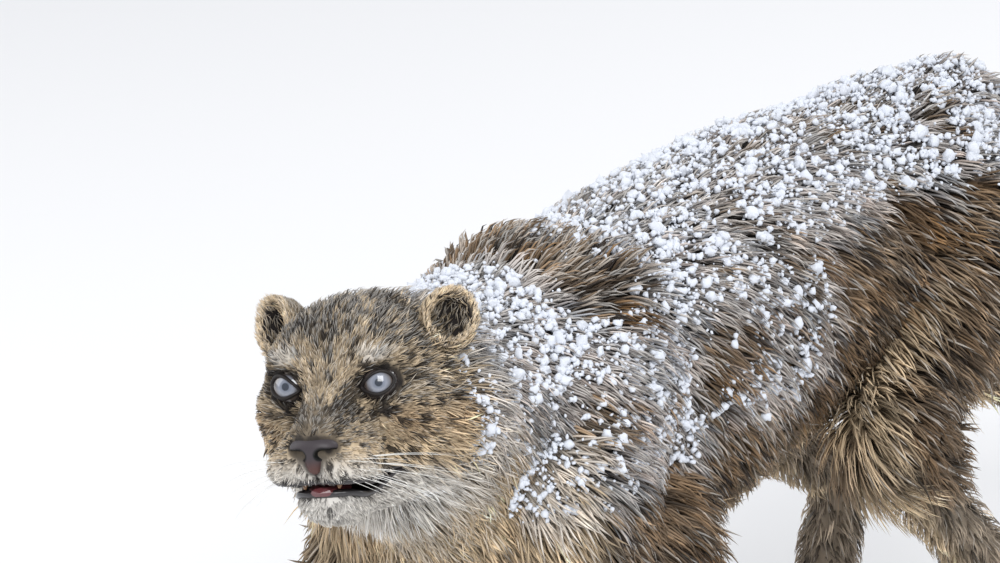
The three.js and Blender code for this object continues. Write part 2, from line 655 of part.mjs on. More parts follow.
// Ears: open cups of fur-covered skin.
const EAR_PROFILE = [[0, -6], [14, -3], [22, 7], [25, 21], [24, 23], [20, 21], [17, 11], [9, 5], [0, 3]];
const EAR_SIDES = 16;
const EAR_SCALE = [0.92, 1.1, 1];
const EAR_PLACE = [64, -30, 54];
function ear(s) {
  const cup = new THREE.LatheGeometry(EAR_PROFILE.map(([r, h]) => new THREE.Vector2(r, h)), EAR_SIDES);
  const opening = at(0.6 * s, 0.78, 0.2).normalize();
  const high = at(0.42 * s, -0.1, 0.9);
  const side = opening.clone().cross(high).normalize();
  const matrix = new THREE.Matrix4().makeBasis(side, opening, side.clone().cross(opening));
  matrix.scale(V(...EAR_SCALE)).setPosition(at(EAR_PLACE[0] * s, EAR_PLACE[1], EAR_PLACE[2]));
  return moved(cup, matrix);
}

// Ruff: two tiers of long locks sweep back and down from the cheeks, and a third under the jaw.
const ruffTier = (f, angles, length, width, lift) => ({
  centre: at(0, f, -18), axis: at(0, -1, 0), zero: down,
  angles: mirrored(angles), lie: at(0, -1, -0.7), length, width, lift,
});
const ruff = (grow) => lockRings(nearHead, [
  ruffTier(4, [52, 72, 92, 112], 58, 27, 15),
  ruffTier(-28, [30, 52, 74, 96, 118], 66, 30, 19),
  ruffTier(28, [34, 60], 44, 22, 9),
], 31, grow);
const RUFF_GAP = 1.3; // kept clear round the ruff, which is longer than other locks
const headGrown = loft(headRings, HEAD_SIDES, grown(headClip, GAP));
const place = (made) => made.transform(headFrame.elements);
const jawSpace = jawBlock(GAP);
const upperTeeth = both((s) => tooth(s, 104, -55, 12));
const lowerTeeth = both((s) => tooth(s * 0.8, 104, -68, -9));
const bareHead = [noseBlank(GAP), eyeball(1, GAP), eyeball(-1, GAP)].reduce(
  (made, cutter) => made.subtract(cutter),
  joined(headBlank.subtract(mouth).subtract(jawSpace), ...both(lids), ...upperTeeth));
const head = joined(bareHead, ...ruff(0).map((each) => each.subtract(jawSpace)));
const nose = nostrils.reduce((made, pit) => made.subtract(pit), noseBlank());
const tongue = sphere(at(0, 84, -69), [18, 28, 8], 12, 6).intersect(mouth);
nodes.set("head", place(largest(head)));
bodyCutters.push(place(joined(headGrown, ...ruff(RUFF_GAP))));
nodes.set("lower_jaw", place(largest(joined(jaw, ...lowerTeeth).subtract(head))));
nodes.set("nose_leather", place(largest(nose.subtract(jawSpace))));
nodes.set("tongue", place(tongue.subtract(jawSpace)));
for (const [end, s] of [["left", 1], ["right", -1]]) {
  nodes.set(`eye_${end}`, place(eyeball(s)));
  nodes.set(`ear_${end}`, place(largest(ear(s).subtract(headGrown))));
}

// Torso and neck, parted by planes across the spine. What lies against them is cut out.
const neckBase = V(0, -232, 448);
const neckLine = V(0.12, -0.93, 0.2).normalize();
const headBack = at(0, HEAD_BACK, 0).applyMatrix4(headFrame);
const headLine = forward.clone().transformDirection(headFrame);
const CHEST_END = 30;
const BELLY_END = 235;
const RUMP_MIDDLE = V(0, 400, 500);
const torsoOnly = (p) => Math.max(wholeField(p), torsoField(p) - 16);
const chestLine = [V(0, -246, 448), V(0, -120, 420), V(0, 40, 440)];
const loinLine = [V(0, 70, 448), V(0, 220, 470), RUMP_MIDDLE];
const torso = loft([
  ...ringsAlong(chestLine, neckLine.clone().negate(), back, evenly(8)),
  ...ringsAlong(loinLine, back, back, evenly(10)),
  ...dome(RUMP_MIDDLE, back, [22, 42, 60, 76, 90]),
], TRUNK_SIDES, torsoOnly);
const throatField = blended([...throatShapes, ...torsoShapes]);
const neckOnly = (p) => Math.max(wholeField(p), throatField(p) - 16);
const nape = [apart(neckBase, neckLine, GAP / 2), V(12, -300, 470), apart(headBack, headLine, -GAP / 2)];
const neck = loft(ringsAlong(nape, neckLine, headLine, evenly(6)), TRUNK_SIDES, neckOnly);
// Long locks: throat and chest, the crest on the nape, the fringe of the belly and the flanks.
const tier = (y, z, angles, length, width, lift, lie = V(0, 0.5, -1)) => ({
  centre: V(0, y, z), axis: back, zero: down, angles: mirrored(angles), length, width, lift, lie,
});
const trunkLocks = lockRings(wholeField, [
  tier(-305, 455, [14, 44, 76], 84, 36, 22),
  tier(-258, 430, [22, 54], 92, 38, 24),
  tier(-296, 470, [152, 176], 56, 26, 17, back),
  tier(-205, 400, [14], 84, 36, 20),
  tier(-130, 400, [18], 80, 36, 18),
  ...evenly(4, -40, 220).flatMap((y) => [
    tier(y, 420, [16, 40], 84, 38, 20),
    tier(y + 24, 430, [66], 86, 38, 14),
  ]),
], 41);
const cleared = (made) => [...legs.map(({ space }) => space.block(GAP)), ...bodyCutters]
  .reduce((left, cutter) => left.subtract(cutter), made);
const slice = (made, from, to) => {
  const kept = from ? made.intersect(beyond(...from, GAP / 2)) : made;
  return to ? kept.subtract(beyond(...to, -GAP / 2)) : kept;
};
const trunk = cleared(joined(neck, torso, ...trunkLocks));
const chestPlane = [V(0, CHEST_END, 0), back];
const bellyPlane = [V(0, BELLY_END, 0), back];
nodes.set("neck", largest(slice(trunk, [neckBase, neckLine], null)));
nodes.set("chest", largest(slice(trunk, [neckBase, neckLine.clone().negate()], chestPlane)));
nodes.set("belly", largest(slice(trunk, chestPlane, bellyPlane)));
nodes.set("rump", largest(slice(trunk, bellyPlane, tailCutAt(TAIL_START))));

// Tail, in five lengths.
const TAIL_LENGTHS = 5;
const TAIL_BARS = 31;
const tailKnots = evenly(TAIL_BARS + 1).map((t) => tailLine.getPointAt(t));
const tailField = blended(tailKnots.slice(1).map((p, i) =>
  bar(tailKnots[i], p, tailRadius(i / TAIL_BARS), tailRadius((i + 1) / TAIL_BARS), 4)));
const tailRings = evenly(21, TAIL_START, 0.97).map((t) =>
  ringAt(tailLine.getPointAt(t), tailLine.getTangentAt(t)));
const tailEnd = tailRings.at(-1);
const tail = loft([...tailRings, ...dome(tailEnd.centre, tailEnd.n, [28, 56, 90])], 12, tailField);
const TAIL_LOCK_ANGLES = evenly(5, 0, 288);
const tailLocks = lockRings(tailField, evenly(6, 0.14, 0.92).map((t, k) => ({
  centre: tailLine.getPointAt(t), axis: tailLine.getTangentAt(t), zero: V(1, 0, 0),
  angles: TAIL_LOCK_ANGLES.map((a) => a + 36 * (k % 2)), lie: tailLine.getTangentAt(t),
  length: 66, width: 34, lift: 12,
})), 51);
const bushyTail = joined(tail, ...tailLocks);
const tailCuts = evenly(TAIL_LENGTHS + 1, TAIL_START, 1).map(tailCutAt);
tailCuts.slice(1).forEach((end, k) => {
  const last = k + 1 === TAIL_LENGTHS;
  nodes.set(`tail_${k + 1}`, largest(slice(bushyTail, tailCuts[k], last ? null : end)));
});

// Materials.
const pale = () => new THREE.MeshStandardMaterial({ color: 0xb3aa9a, roughness: 0.95, metalness: 0 });
const leather = () => new THREE.MeshStandardMaterial({ color: 0x3d3130, roughness: 0.5, metalness: 0 });
const eyeGlass = () => new THREE.MeshStandardMaterial({ color: 0xb7c0bf, roughness: 0.08, metalness: 0 });
const wetPink = () => new THREE.MeshStandardMaterial({ color: 0xb9716c, roughness: 0.35, metalness: 0 });
const materialOf = (name) => {
  if (name.startsWith("eye")) return eyeGlass();
  if (name === "nose_leather") return leather();
  return name === "tongue" ? wetPink() : pale();
};

const group = new THREE.Group();
group.name = "snow_leopard";
for (const [name, made] of nodes) {
  const { vertProperties, triVerts } = made.getMesh();
  const geometry = new THREE.BufferGeometry()
    .setAttribute("position", new THREE.BufferAttribute(new Float32Array(vertProperties), 3))
    .setIndex(new THREE.BufferAttribute(new Uint32Array(triVerts), 1));
  geometry.computeVertexNormals();
  const item = new THREE.Mesh(geometry, materialOf(name));
  item.name = name;
  item.position.y = BODY_SHIFT;
  group.add(item);
}

export default group;
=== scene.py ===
import math
import bpy
import numpy as np
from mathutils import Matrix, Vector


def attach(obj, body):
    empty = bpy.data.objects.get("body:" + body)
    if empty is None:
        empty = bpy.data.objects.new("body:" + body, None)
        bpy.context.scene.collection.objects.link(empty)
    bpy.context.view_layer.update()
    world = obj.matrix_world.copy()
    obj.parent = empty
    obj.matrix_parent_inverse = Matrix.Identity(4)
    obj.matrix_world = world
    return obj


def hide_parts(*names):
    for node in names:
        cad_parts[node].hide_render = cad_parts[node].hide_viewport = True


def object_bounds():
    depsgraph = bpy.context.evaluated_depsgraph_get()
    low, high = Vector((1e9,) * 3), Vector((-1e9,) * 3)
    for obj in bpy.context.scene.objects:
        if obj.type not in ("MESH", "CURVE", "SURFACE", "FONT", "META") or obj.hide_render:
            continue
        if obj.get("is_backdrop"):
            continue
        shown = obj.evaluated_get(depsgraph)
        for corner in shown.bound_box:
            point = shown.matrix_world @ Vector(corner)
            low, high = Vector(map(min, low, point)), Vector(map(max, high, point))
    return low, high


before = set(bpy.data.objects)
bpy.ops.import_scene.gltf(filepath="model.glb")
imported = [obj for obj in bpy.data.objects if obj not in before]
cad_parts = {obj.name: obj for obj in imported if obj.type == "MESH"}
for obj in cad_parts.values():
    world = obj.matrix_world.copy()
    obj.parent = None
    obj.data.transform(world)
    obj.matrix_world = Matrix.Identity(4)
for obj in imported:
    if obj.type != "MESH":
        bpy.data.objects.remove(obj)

import openvdb
from mathutils import Matrix, Vector
from mathutils.kdtree import KDTree

solid_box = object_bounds()

# Camera
# It looks at the animal from in front of its left shoulder and a little above, as a
# photographer with a long lens would who stands about five metres away.
AIM = Vector((-0.039, -0.491, 0.526))
VIEW_TURN = math.radians(40)
VIEW_LIFT = math.radians(18)
VIEW_DISTANCE = 5.0
WIDTH_SEEN = 0.870
SENSOR_WIDTH = 36

towards_camera = Vector((
    math.sin(VIEW_TURN) * math.cos(VIEW_LIFT),
    -math.cos(VIEW_TURN) * math.cos(VIEW_LIFT),
    math.sin(VIEW_LIFT),
))
camera = bpy.data.objects.new("camera", bpy.data.cameras.new("camera"))
bpy.context.scene.collection.objects.link(camera)
camera.location = AIM + towards_camera * VIEW_DISTANCE
camera.rotation_mode = "QUATERNION"
camera.rotation_quaternion = (-towards_camera).to_track_quat("-Z", "Y")
camera.data.sensor_width = SENSOR_WIDTH
camera.data.lens = SENSOR_WIDTH * VIEW_DISTANCE / WIDTH_SEEN
camera.data.clip_end = 100
bpy.context.scene.camera = camera

# Body form
# The animal's outside, to the tips of its coat, as rounded forms that melt into each other:
# balls are ellipsoids and bars are tapered round bars. Sizes are in millimetres, before the
# body is shifted so that its middle stands over the origin.
def ball(centre, radii, blend, tilt=0.0):
    return ("ball", np.array(centre, float), np.array(radii, float), blend, math.radians(tilt))


def bar(a, b, ra, rb, blend, flat=1.0):
    return ("bar", np.array(a, float), np.array(b, float), ra, rb, blend, flat)


def distance_to(shape, p):
    if shape[0] == "bar":
        _, a, b, ra, rb, _, flat = shape
        span = b - a
        q = p - a
        t = np.clip(q @ span / (span @ span), 0, 1)
        q = q - t[:, None] * span
        q[:, 0] /= flat
        return np.sqrt((q * q).sum(1)) - (ra + (rb - ra) * t)
    _, centre, radii, _, tilt = shape
    q = p - centre
    y = q[:, 1] * math.cos(tilt) - q[:, 2] * math.sin(tilt)
    z = q[:, 1] * math.sin(tilt) + q[:, 2] * math.cos(tilt)
    q = np.stack([q[:, 0], y, z], 1)
    k = np.sqrt(((q / radii) ** 2).sum(1))
    g = np.sqrt(((q / radii ** 2) ** 2).sum(1)) + 1e-9
    return k * (k - 1) / g


def soften(d, e, blend):
    h = np.maximum(blend - np.abs(d - e), 0) / blend
    return np.minimum(d, e) - h * h * blend / 4


def blended(shapes):
    def field(p):
        d = distance_to(shapes[0], p)
        for shape in shapes[1:]:
            blend = shape[5] if shape[0] == "bar" else shape[3]
            d = soften(d, distance_to(shape, p), blend)
        return d
    return field


WITHERS = 565
CHEST_DEPTH = 320
chest_middle = WITHERS - CHEST_DEPTH / 2 + 7
torso_shapes = [
    ball((0, -90, chest_middle), (126, 215, 160), 60),
    ball((0, 45, chest_middle + 28), (130, 190, 156), 60),
    ball((0, 190, chest_middle + 52), (122, 190, 146), 60),
    ball((0, 352, chest_middle + 80), (113, 142, 118), 60, -12),
    ball((0, -235, chest_middle - 62), (92, 88, 98), 50),
]
throat_shapes = [
    bar((0, -190, chest_middle + 38), (20, -330, 476), 110, 92, 50),
    bar((0, -255, 392), (24, -366, 438), 78, 62, 40),
]
fore_left = dict(side=1, blade=(62, -118, 500), shoulder=(95, -205, 385), elbow=(112, -118, 228),
                 wrist=(107, -122, 72), paw=(104, -150, 0))
fore_right = dict(side=-1, blade=(-62, -135, 498), shoulder=(-93, -252, 372), elbow=(-107, -248, 205),
                  wrist=(-99, -352, 78), paw=(-96, -396, 0))
hind_left = dict(side=1, hip=(86, 388, 466), knee=(116, 214, 326), hock=(110, 372, 160),
                 ball=(108, 322, 50), paw=(108, 290, 0))
hind_right = dict(side=-1, hip=(-86, 388, 466), knee=(-118, 264, 294), hock=(-112, 454, 168),
                  ball=(-110, 428, 50), paw=(-110, 396, 0))
PAW_WIDTH = 92


def paw_shapes(paw):
    x, y, _ = paw
    toes = zip((-0.34, -0.12, 0.12, 0.34), (38, 51, 51, 38))
    return [ball((x, y + 8, 30), (PAW_WIDTH * 0.46, 50, 40), 16, 16)] + [
        ball((x + share * PAW_WIDTH, y - fore, 19), (15, 26, 21), 8) for share, fore in toes]


def fore_shapes(leg):
    x, y, z = leg["elbow"]
    paw_x, paw_y, _ = leg["paw"]
    return [
        bar(leg["blade"], leg["shoulder"], 50, 62, 55, 0.8),
        bar(leg["shoulder"], leg["elbow"], 62, 45, 40, 0.85),
        ball((x - 8 * leg["side"], y + 10, z + 72), (42, 70, 84), 40, 10),
        bar(leg["elbow"], leg["wrist"], 50, 37, 26, 0.88),
        bar(leg["wrist"], (paw_x, paw_y + 18, 40), 38, 36, 18),
    ] + paw_shapes(leg["paw"])


def hind_shapes(leg):
    hip, knee, hock = (np.array(leg[k], float) for k in ("hip", "knee", "hock"))
    thigh = hip + (knee - hip) * 0.42
    calf = knee + (hock - knee) * 0.3
    return [
        bar(hip, knee, 88, 58, 50, 0.66),
        ball(thigh + (-4 * leg["side"], 62, -18), (50, 84, 92), 45, -30),
        bar(knee, hock, 58, 35, 34, 0.8),
        ball(calf + (0, 22, 6), (38, 50, 62), 30, 40),
        bar(hock, leg["ball"], 36, 35, 18, 0.9),
    ] + paw_shapes(leg["paw"])


# A smooth curve through points, with each point's neighbours giving its slope.
def curve_through(points, count):
    points = np.array(points, float)
    padded = np.vstack([2 * points[0] - points[1], points, 2 * points[-1] - points[-2]])
    made = []
    for t in np.linspace(0, len(points) - 1, count):
        k = min(int(t), len(points) - 2)
        f = t - k
        a, b, c, d = padded[k:k + 4]
        made.append(b + 0.5 * f * (c - a + f * (2 * a - 5 * b + 4 * c - d + f * (3 * (b - c) + d - a))))
    made = np.array(made)
    along = np.concatenate([[0], np.cumsum(np.linalg.norm(np.diff(made, axis=0), axis=1))])
    even = np.linspace(0, along[-1], count)
    return np.stack([np.interp(even, along, made[:, i]) for i in range(3)], 1)


TAIL_RADIUS = 54
TAIL_STEPS = 60
tail_line = curve_through([
    (0, 458, 548), (2, 545, 500), (6, 632, 398), (14, 722, 286), (26, 838, 205),
    (40, 962, 184), (52, 1078, 214), (58, 1158, 286), (60, 1192, 378)], TAIL_STEPS)


def tail_radius(t):
    return TAIL_RADIUS * (0.86 + 0.2 * math.sin(math.pi * min(t * 1.15, 1)))


tail_root = bar(tail_line[0], tail_line[7], 60, tail_radius(0.1), 45)
tail_shapes = [
    bar(tail_line[i], tail_line[i + 3], tail_radius(i / (TAIL_STEPS - 1)),
        tail_radius((i + 3) / (TAIL_STEPS - 1)), 6)
    for i in range(3, TAIL_STEPS - 4, 3)]
leg_shapes = (fore_shapes(fore_left) + fore_shapes(fore_right)
              + hind_shapes(hind_left) + hind_shapes(hind_right))
body_field = blended(torso_shapes + throat_shapes + [tail_root] + leg_shapes)
tail_field = blended(tail_shapes)

# Head form
# It has a frame of its own: left, fore and up from the middle of the skull. The head is turned
# towards the animal's left, with the nose a little up and the crown tipped to one side.
HEAD_CENTRE = np.array((33.0, -412.0, 508.0))
HEAD_TURN = 20
HEAD_LIFT = 12
HEAD_ROLL = 9
EYE_RADIUS = 17.0
EYE_SPREAD = 38.0
EYE_FORE = 56.0
EYE_UP = 14.0
turned = Matrix.Rotation(math.radians(HEAD_TURN), 3, "Z")
lifted = Matrix.Rotation(math.radians(-HEAD_LIFT), 3, "X")
rolled = Matrix.Rotation(math.radians(-HEAD_ROLL), 3, "Y")
head_turn = np.array(turned @ lifted @ rolled)


def at(left, fore, up):
    return np.array((left, -fore, up), float)


def into_head(p):
    return (p - HEAD_CENTRE) @ head_turn


def from_head(q):
    return q @ head_turn.T + HEAD_CENTRE


def both(make):
    return [make(1), make(-1)]


skull_shapes = [
    ball(at(0, -12, 22), (77, 84, 66), 20),
    ball(at(0, 36, 27), (57, 38, 40), 26),
    ball(at(0, -66, -4), (82, 46, 78), 40),
    *both(lambda s: ball(at(44 * s, -4, -28), (42, 54, 50), 26)),
    *both(lambda s: ball(at(48 * s, 36, -8), (27, 34, 24), 22)),
    *both(lambda s: ball(at(35 * s, 55, 37), (22, 18, 12), 16)),
    bar(at(0, 48, 26), at(0, 108, -23), 24, 19, 18),
    ball(at(0, 80, -40), (44, 42, 34), 18),
    *both(lambda s: ball(at(23 * s, 99, -48), (26, 27, 20), 9)),
]
jaw_shapes = [
    *both(lambda s: bar(at(32 * s, 6, -62), at(10 * s, 74, -76), 27, 19, 20)),
    ball(at(0, 82, -78), (26, 26, 18), 16),
]
socket_shapes = both(lambda s: ball(at((EYE_SPREAD + 2) * s, 79, 12), (14, 12, 9), 8))
skull = blended(skull_shapes + jaw_shapes)
sockets = blended(socket_shapes)
MOUTH_BACK = 46
MOUTH_FRONT = 98


# The heights of the upper and lower lip, from the corner of the mouth to the front.
def lip_levels(fore):
    t = np.clip((fore - MOUTH_BACK) / (MOUTH_FRONT - MOUTH_BACK), 0, 1)
    top = -57 - 7 * np.sin(t * math.pi) - 3 * t
    return top, top - 1.5 - 7.5 * np.sqrt(t)


NOSE_UP = -35
nose_form = blended([
    ball(at(0, 115, NOSE_UP + 4), (21, 13, 10), 8),
    ball(at(0, 117, NOSE_UP - 9), (6.5, 9, 9), 9),
])


def mouth_depth(q):
    fore = -q[:, 1]
    top, low = lip_levels(fore)
    return np.maximum(np.maximum(q[:, 2] - top, low - q[:, 2]), MOUTH_BACK - fore)


def head_field(q):
    return -soften(-skull(q), sockets(q), 10)


# Each form is worked out only where it can matter, which saves time.
def headless_field(p):
    d = np.full(len(p), 300.0)
    trunk = p[:, 1] < 640
    d[trunk] = body_field(p[trunk])
    rear = p[:, 1] > 330
    d[rear] = soften(d[rear], tail_field(p[rear]), 12)
    return d


def whole_field(p):
    d = headless_field(p)
    front = p[:, 1] < -200
    d[front] = soften(d[front], head_field(into_head(p[front])), 30)
    return d


def smooth(x, low, high):
    t = np.clip((x - low) / (high - low), 0, 1)
    return t * t * (3 - 2 * t)


# How deep the coat is, in millimetres: short on the face and feet, deeper up the legs, and full
# on the trunk, cheeks and tail.
def coat_depth(p):
    trunk = 7 + 17 * smooth(p[:, 2], 90, 330)
    d = np.where(p[:, 1] > 520, 24.0, trunk)
    q = into_head(p)
    face = 3.5 + 17 * smooth(q[:, 1], -46, 22)
    return d + (face - d) * smooth(-p[:, 1], 300, 350) * (p[:, 2] > 300)


# Skin
# A cat's skin has no seams, so one surface covers the body and a finer one the head, and they
# overlap in the neck. Both lie under the solids by the depth of the coat, and carry the coat's
# colours where hair is short, darkened as painted shade under the coat.
VOXEL = 6.0
HEAD_VOXEL = 2.3
SHIFT_Y = -343.0


# The field is worked out on a coarse grid, and again finely where the surface is near.
def surface_of(field, low, high, size):
    counts = [int((h - l) / size) + 1 for l, h in zip(low, high)]
    coarse = 4
    axes = [l + size * coarse * np.arange(c // coarse + 2) for l, c in zip(low, counts)]
    grid = np.stack(np.meshgrid(*axes, indexing="ij"), -1).reshape(-1, 3)
    rough = field(grid).reshape([len(a) for a in axes])
    near = np.abs(rough) < size * coarse * 1.9
    values = np.repeat(np.repeat(np.repeat(rough, coarse, 0), coarse, 1), coarse, 2)
    mask = np.repeat(np.repeat(np.repeat(near, coarse, 0), coarse, 1), coarse, 2)
    index = np.argwhere(mask)
    values[mask] = field(index * size + np.array(low, float))
    volume = openvdb.FloatGrid(background=float(size * 3))
    volume.copyFromArray(values.astype(np.float32))
    points, _, quads = volume.convertToPolygons(isovalue=0.0)
    points = np.array(points, float) * size + np.array(low, float)
    quads = np.array(quads, int)
    tris = np.vstack([quads[:, [0, 2, 1]], quads[:, [0, 3, 2]]])
    a, b, c = points[tris[:, 0]], points[tris[:, 1]], points[tris[:, 2]]
    if (a * np.cross(b, c)).sum() < 0:
        tris = tris[:, ::-1]
    return points, tris


def to_metres(p):
    return (p + (0, SHIFT_Y, 0)) * 0.001


def mesh_of(name, points, tris):
    mesh = bpy.data.meshes.new(name)
    mesh.vertices.add(len(points))
    mesh.vertices.foreach_set("co", np.ascontiguousarray(points, np.float32).ravel())
    mesh.loops.add(len(tris) * 3)
    mesh.loops.foreach_set("vertex_index", np.ascontiguousarray(tris, np.int32).ravel())
    mesh.polygons.add(len(tris))
    mesh.polygons.foreach_set("loop_start", np.arange(len(tris), dtype=np.int32) * 3)
    mesh.polygons.foreach_set("use_smooth", np.full(len(tris), True))
    mesh.update(calc_edges=True)
    item = bpy.data.objects.new(name, mesh)
    bpy.context.scene.collection.objects.link(item)
    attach(item, "root")
    return item


def unit(v):
    return v / (np.linalg.norm(v, axis=1, keepdims=True) + 1e-9)


def slope_of(field, p, step=2.0):
    return unit(np.stack([field(p + e) - field(p - e) for e in np.eye(3) * step], 1))


def skin_field(p):
    return headless_field(p) + coat_depth(p)


def face_field(p):
    q = into_head(p)
    d = soften(whole_field(p), head_field(q), 1) + coat_depth(p)
    return np.maximum(d, -mouth_depth(q))


body_points, body_tris = surface_of(skin_field, (-175, -480, 0.5), (180, 1265, 625), VOXEL)
head_points, head_tris = surface_of(face_field, (-95, -575, 360), (155, -318, 620), HEAD_VOXEL)

# Markings
# Wet fur: brown and ochre streaked with grey above, grey on the legs and tail, cream below.
# Broken dark rings lie on the body and tail, solid spots on the legs, and fine dots and bars
# on the head.
MOST_TRIED = 60000
RING_GAP = 62
SPOT_GAP = 27
DOT_GAP = 12.5
random = np.random.default_rng(11)


def noise(p, size, seed):
    p = p / size + seed * 17.3
    total = 0
    for k, share in ((1.0, 0.6), (2.3, 0.4)):
        total = total + share * (np.sin(p[:, 0] * k * 1.7 + 1.3 * np.sin(p[:, 1] * k * 1.1 + seed))
                                 * np.sin(p[:, 1] * k * 1.5 + 1.7 * np.sin(p[:, 2] * k * 1.3))
                                 * np.cos(p[:, 2] * k * 1.6 + 1.1 * np.sin(p[:, 0] * k * 1.2)))
    return total


# Points by chance that keep a gap from each other, found by way of a grid of cells.
def spaced(points, gap):
    chosen = []
    filled = {}
    for p in points[random.permutation(len(points))[:MOST_TRIED]]:
        cell = tuple((p // gap).astype(int))
        near = [q for dx in (-1, 0, 1) for dy in (-1, 0, 1) for dz in (-1, 0, 1)
                for q in filled.get((cell[0] + dx, cell[1] + dy, cell[2] + dz), ())]
        if all(((p - q) ** 2).sum() > gap * gap for q in near):
            filled.setdefault(cell, []).append(p)
            chosen.append(p)
    return np.array(chosen)


def nearest(centres, points):
    tree = KDTree(len(centres))
    for i, c in enumerate(centres):
        tree.insert(c, i)
    tree.balance()
    found = [tree.find(p) for p in points]
    return np.array([f[2] for f in found]), np.array([f[1] for f in found])


ring_centres = spaced(body_points, RING_GAP)
leg_centres = spaced(body_points[body_points[:, 2] < 300], SPOT_GAP)
dot_centres = spaced(head_points, DOT_GAP)
WHITE = np.array((0.76, 0.73, 0.68))
SNOW = np.array((0.80, 0.83, 0.88))
CREAM = np.array((0.60, 0.47, 0.31))
GREY = np.array((0.235, 0.195, 0.15))
BROWN = np.array((0.105, 0.07, 0.042))
OCHRE = np.array((0.30, 0.165, 0.065))
TAWNY = np.array((0.53, 0.42, 0.285))
DARK = np.array((0.016, 0.013, 0.012))


def mixed(a, b, share):
    return a + (b - a) * np.clip(share, 0, 1)[:, None]


def broken_rings(p, centres, radius, thickness):
    distance, which = nearest(centres, p)
    turn = np.arctan2(p[:, 2] - centres[which][:, 2], p[:, 1] - centres[which][:, 1])
    broken = np.sin(turn * 3 + which) > -0.55
    return (1 - smooth(np.abs(distance - radius), thickness * 0.5, thickness)) * broken


def body_tone(p):
    n = slope_of(whole_field, p, 6.0)
    streaked = p * (1.0, 0.5, 0.8)
    tone = mixed(BROWN, OCHRE, 0.4 + 0.6 * noise(streaked, 15, 3))
    tone = mixed(tone, GREY * 1.3, 0.25 + 0.5 * noise(p, 33, 5))
    leg = smooth(-p[:, 2], -290, -220) * (p[:, 1] < 520)
    tail = smooth(p[:, 1], 500, 560)
    tone = mixed(tone, GREY * 1.9, 0.8 * np.maximum(leg, tail))
    tone = mixed(tone, DARK, 0.85 * broken_rings(p, ring_centres, 17, 9) * (1 - leg))
    tone = mixed(tone, DARK, 0.6 * smooth(noise(streaked, 10, 8), 0.15, 0.5) * (1 - leg))
    distance, _ = nearest(leg_centres, p)
    tone = mixed(tone, DARK, 0.8 * leg * (1 - smooth(distance, 5, 8)))
    under = smooth(-n[:, 2], 0.35, 0.85) * (p[:, 1] < 520)
    front = smooth(-n[:, 1], 0.3, 0.8) * smooth(p[:, 2], 300, 360)
    throat = smooth(-p[:, 1], 255, 320) * smooth(-n[:, 2], -0.25, 0.3)
    pale = np.maximum(under, np.maximum(0.9 * front, throat))
    tone = mixed(tone, CREAM * 1.15, pale * (0.95 + 0.3 * noise(p, 25, 7)))
    return mixed(tone, WHITE, 0.5 * smooth(-p[:, 2], -60, -15))


# How much snow lies at each place, from 0 to 1: thick on the shoulders and behind the ears,
# thin along the back, with bare fur in the cracks between.
def snow_cover(p):
    n = slope_of(whole_field, p, 8.0)
    height = smooth(p[:, 2], 345, 400) * smooth(n[:, 2], -0.5, -0.1)
    behind_head = smooth(p[:, 1], -372, -345)
    loin = 1 - smooth(p[:, 1], 90, 170) * smooth(-p[:, 2], -545, -500)
    patches = 0.64 + 0.6 * noise(p, 38, 2) + 0.4 * noise(p, 13, 6)
    patches = patches + 0.25 * smooth(p[:, 2], 470, 560)
    patches = patches + 0.2 * smooth(-p[:, 1], 20, 120)
    crest = smooth(p[:, 1], -215, -185) * smooth(-p[:, 1], 105, 140) * smooth(p[:, 2], 500, 530)
    return np.clip(height * behind_head * loin * patches * (1 - 0.8 * crest), 0, 1)


# The share of tufts with white tips: most on the back and cheeks.
def frost_share(p, n):
    top = smooth(n[:, 2], 0.1, 0.8) * smooth(p[:, 2], 380, 480)
    cheek = smooth(into_head(p)[:, 1], 4, 34) * smooth(-p[:, 1], 300, 345) * 0.75
    return np.maximum(np.maximum(0.10, 0.55 * top), np.maximum(cheek, 0.45 * snow_cover(p)))


def spot(q, left, fore, up, wide, long, high):
    away = (q - at(left, fore, up)) / (wide, long, high)
    return 1 - smooth(np.sqrt((away ** 2).sum(1)), 0.7, 1.2)


def from_eye(q):
    mirrored = np.column_stack([np.abs(q[:, 0]), q[:, 1:]])
    return np.linalg.norm(mirrored - at(EYE_SPREAD, EYE_FORE, EYE_UP), axis=1)


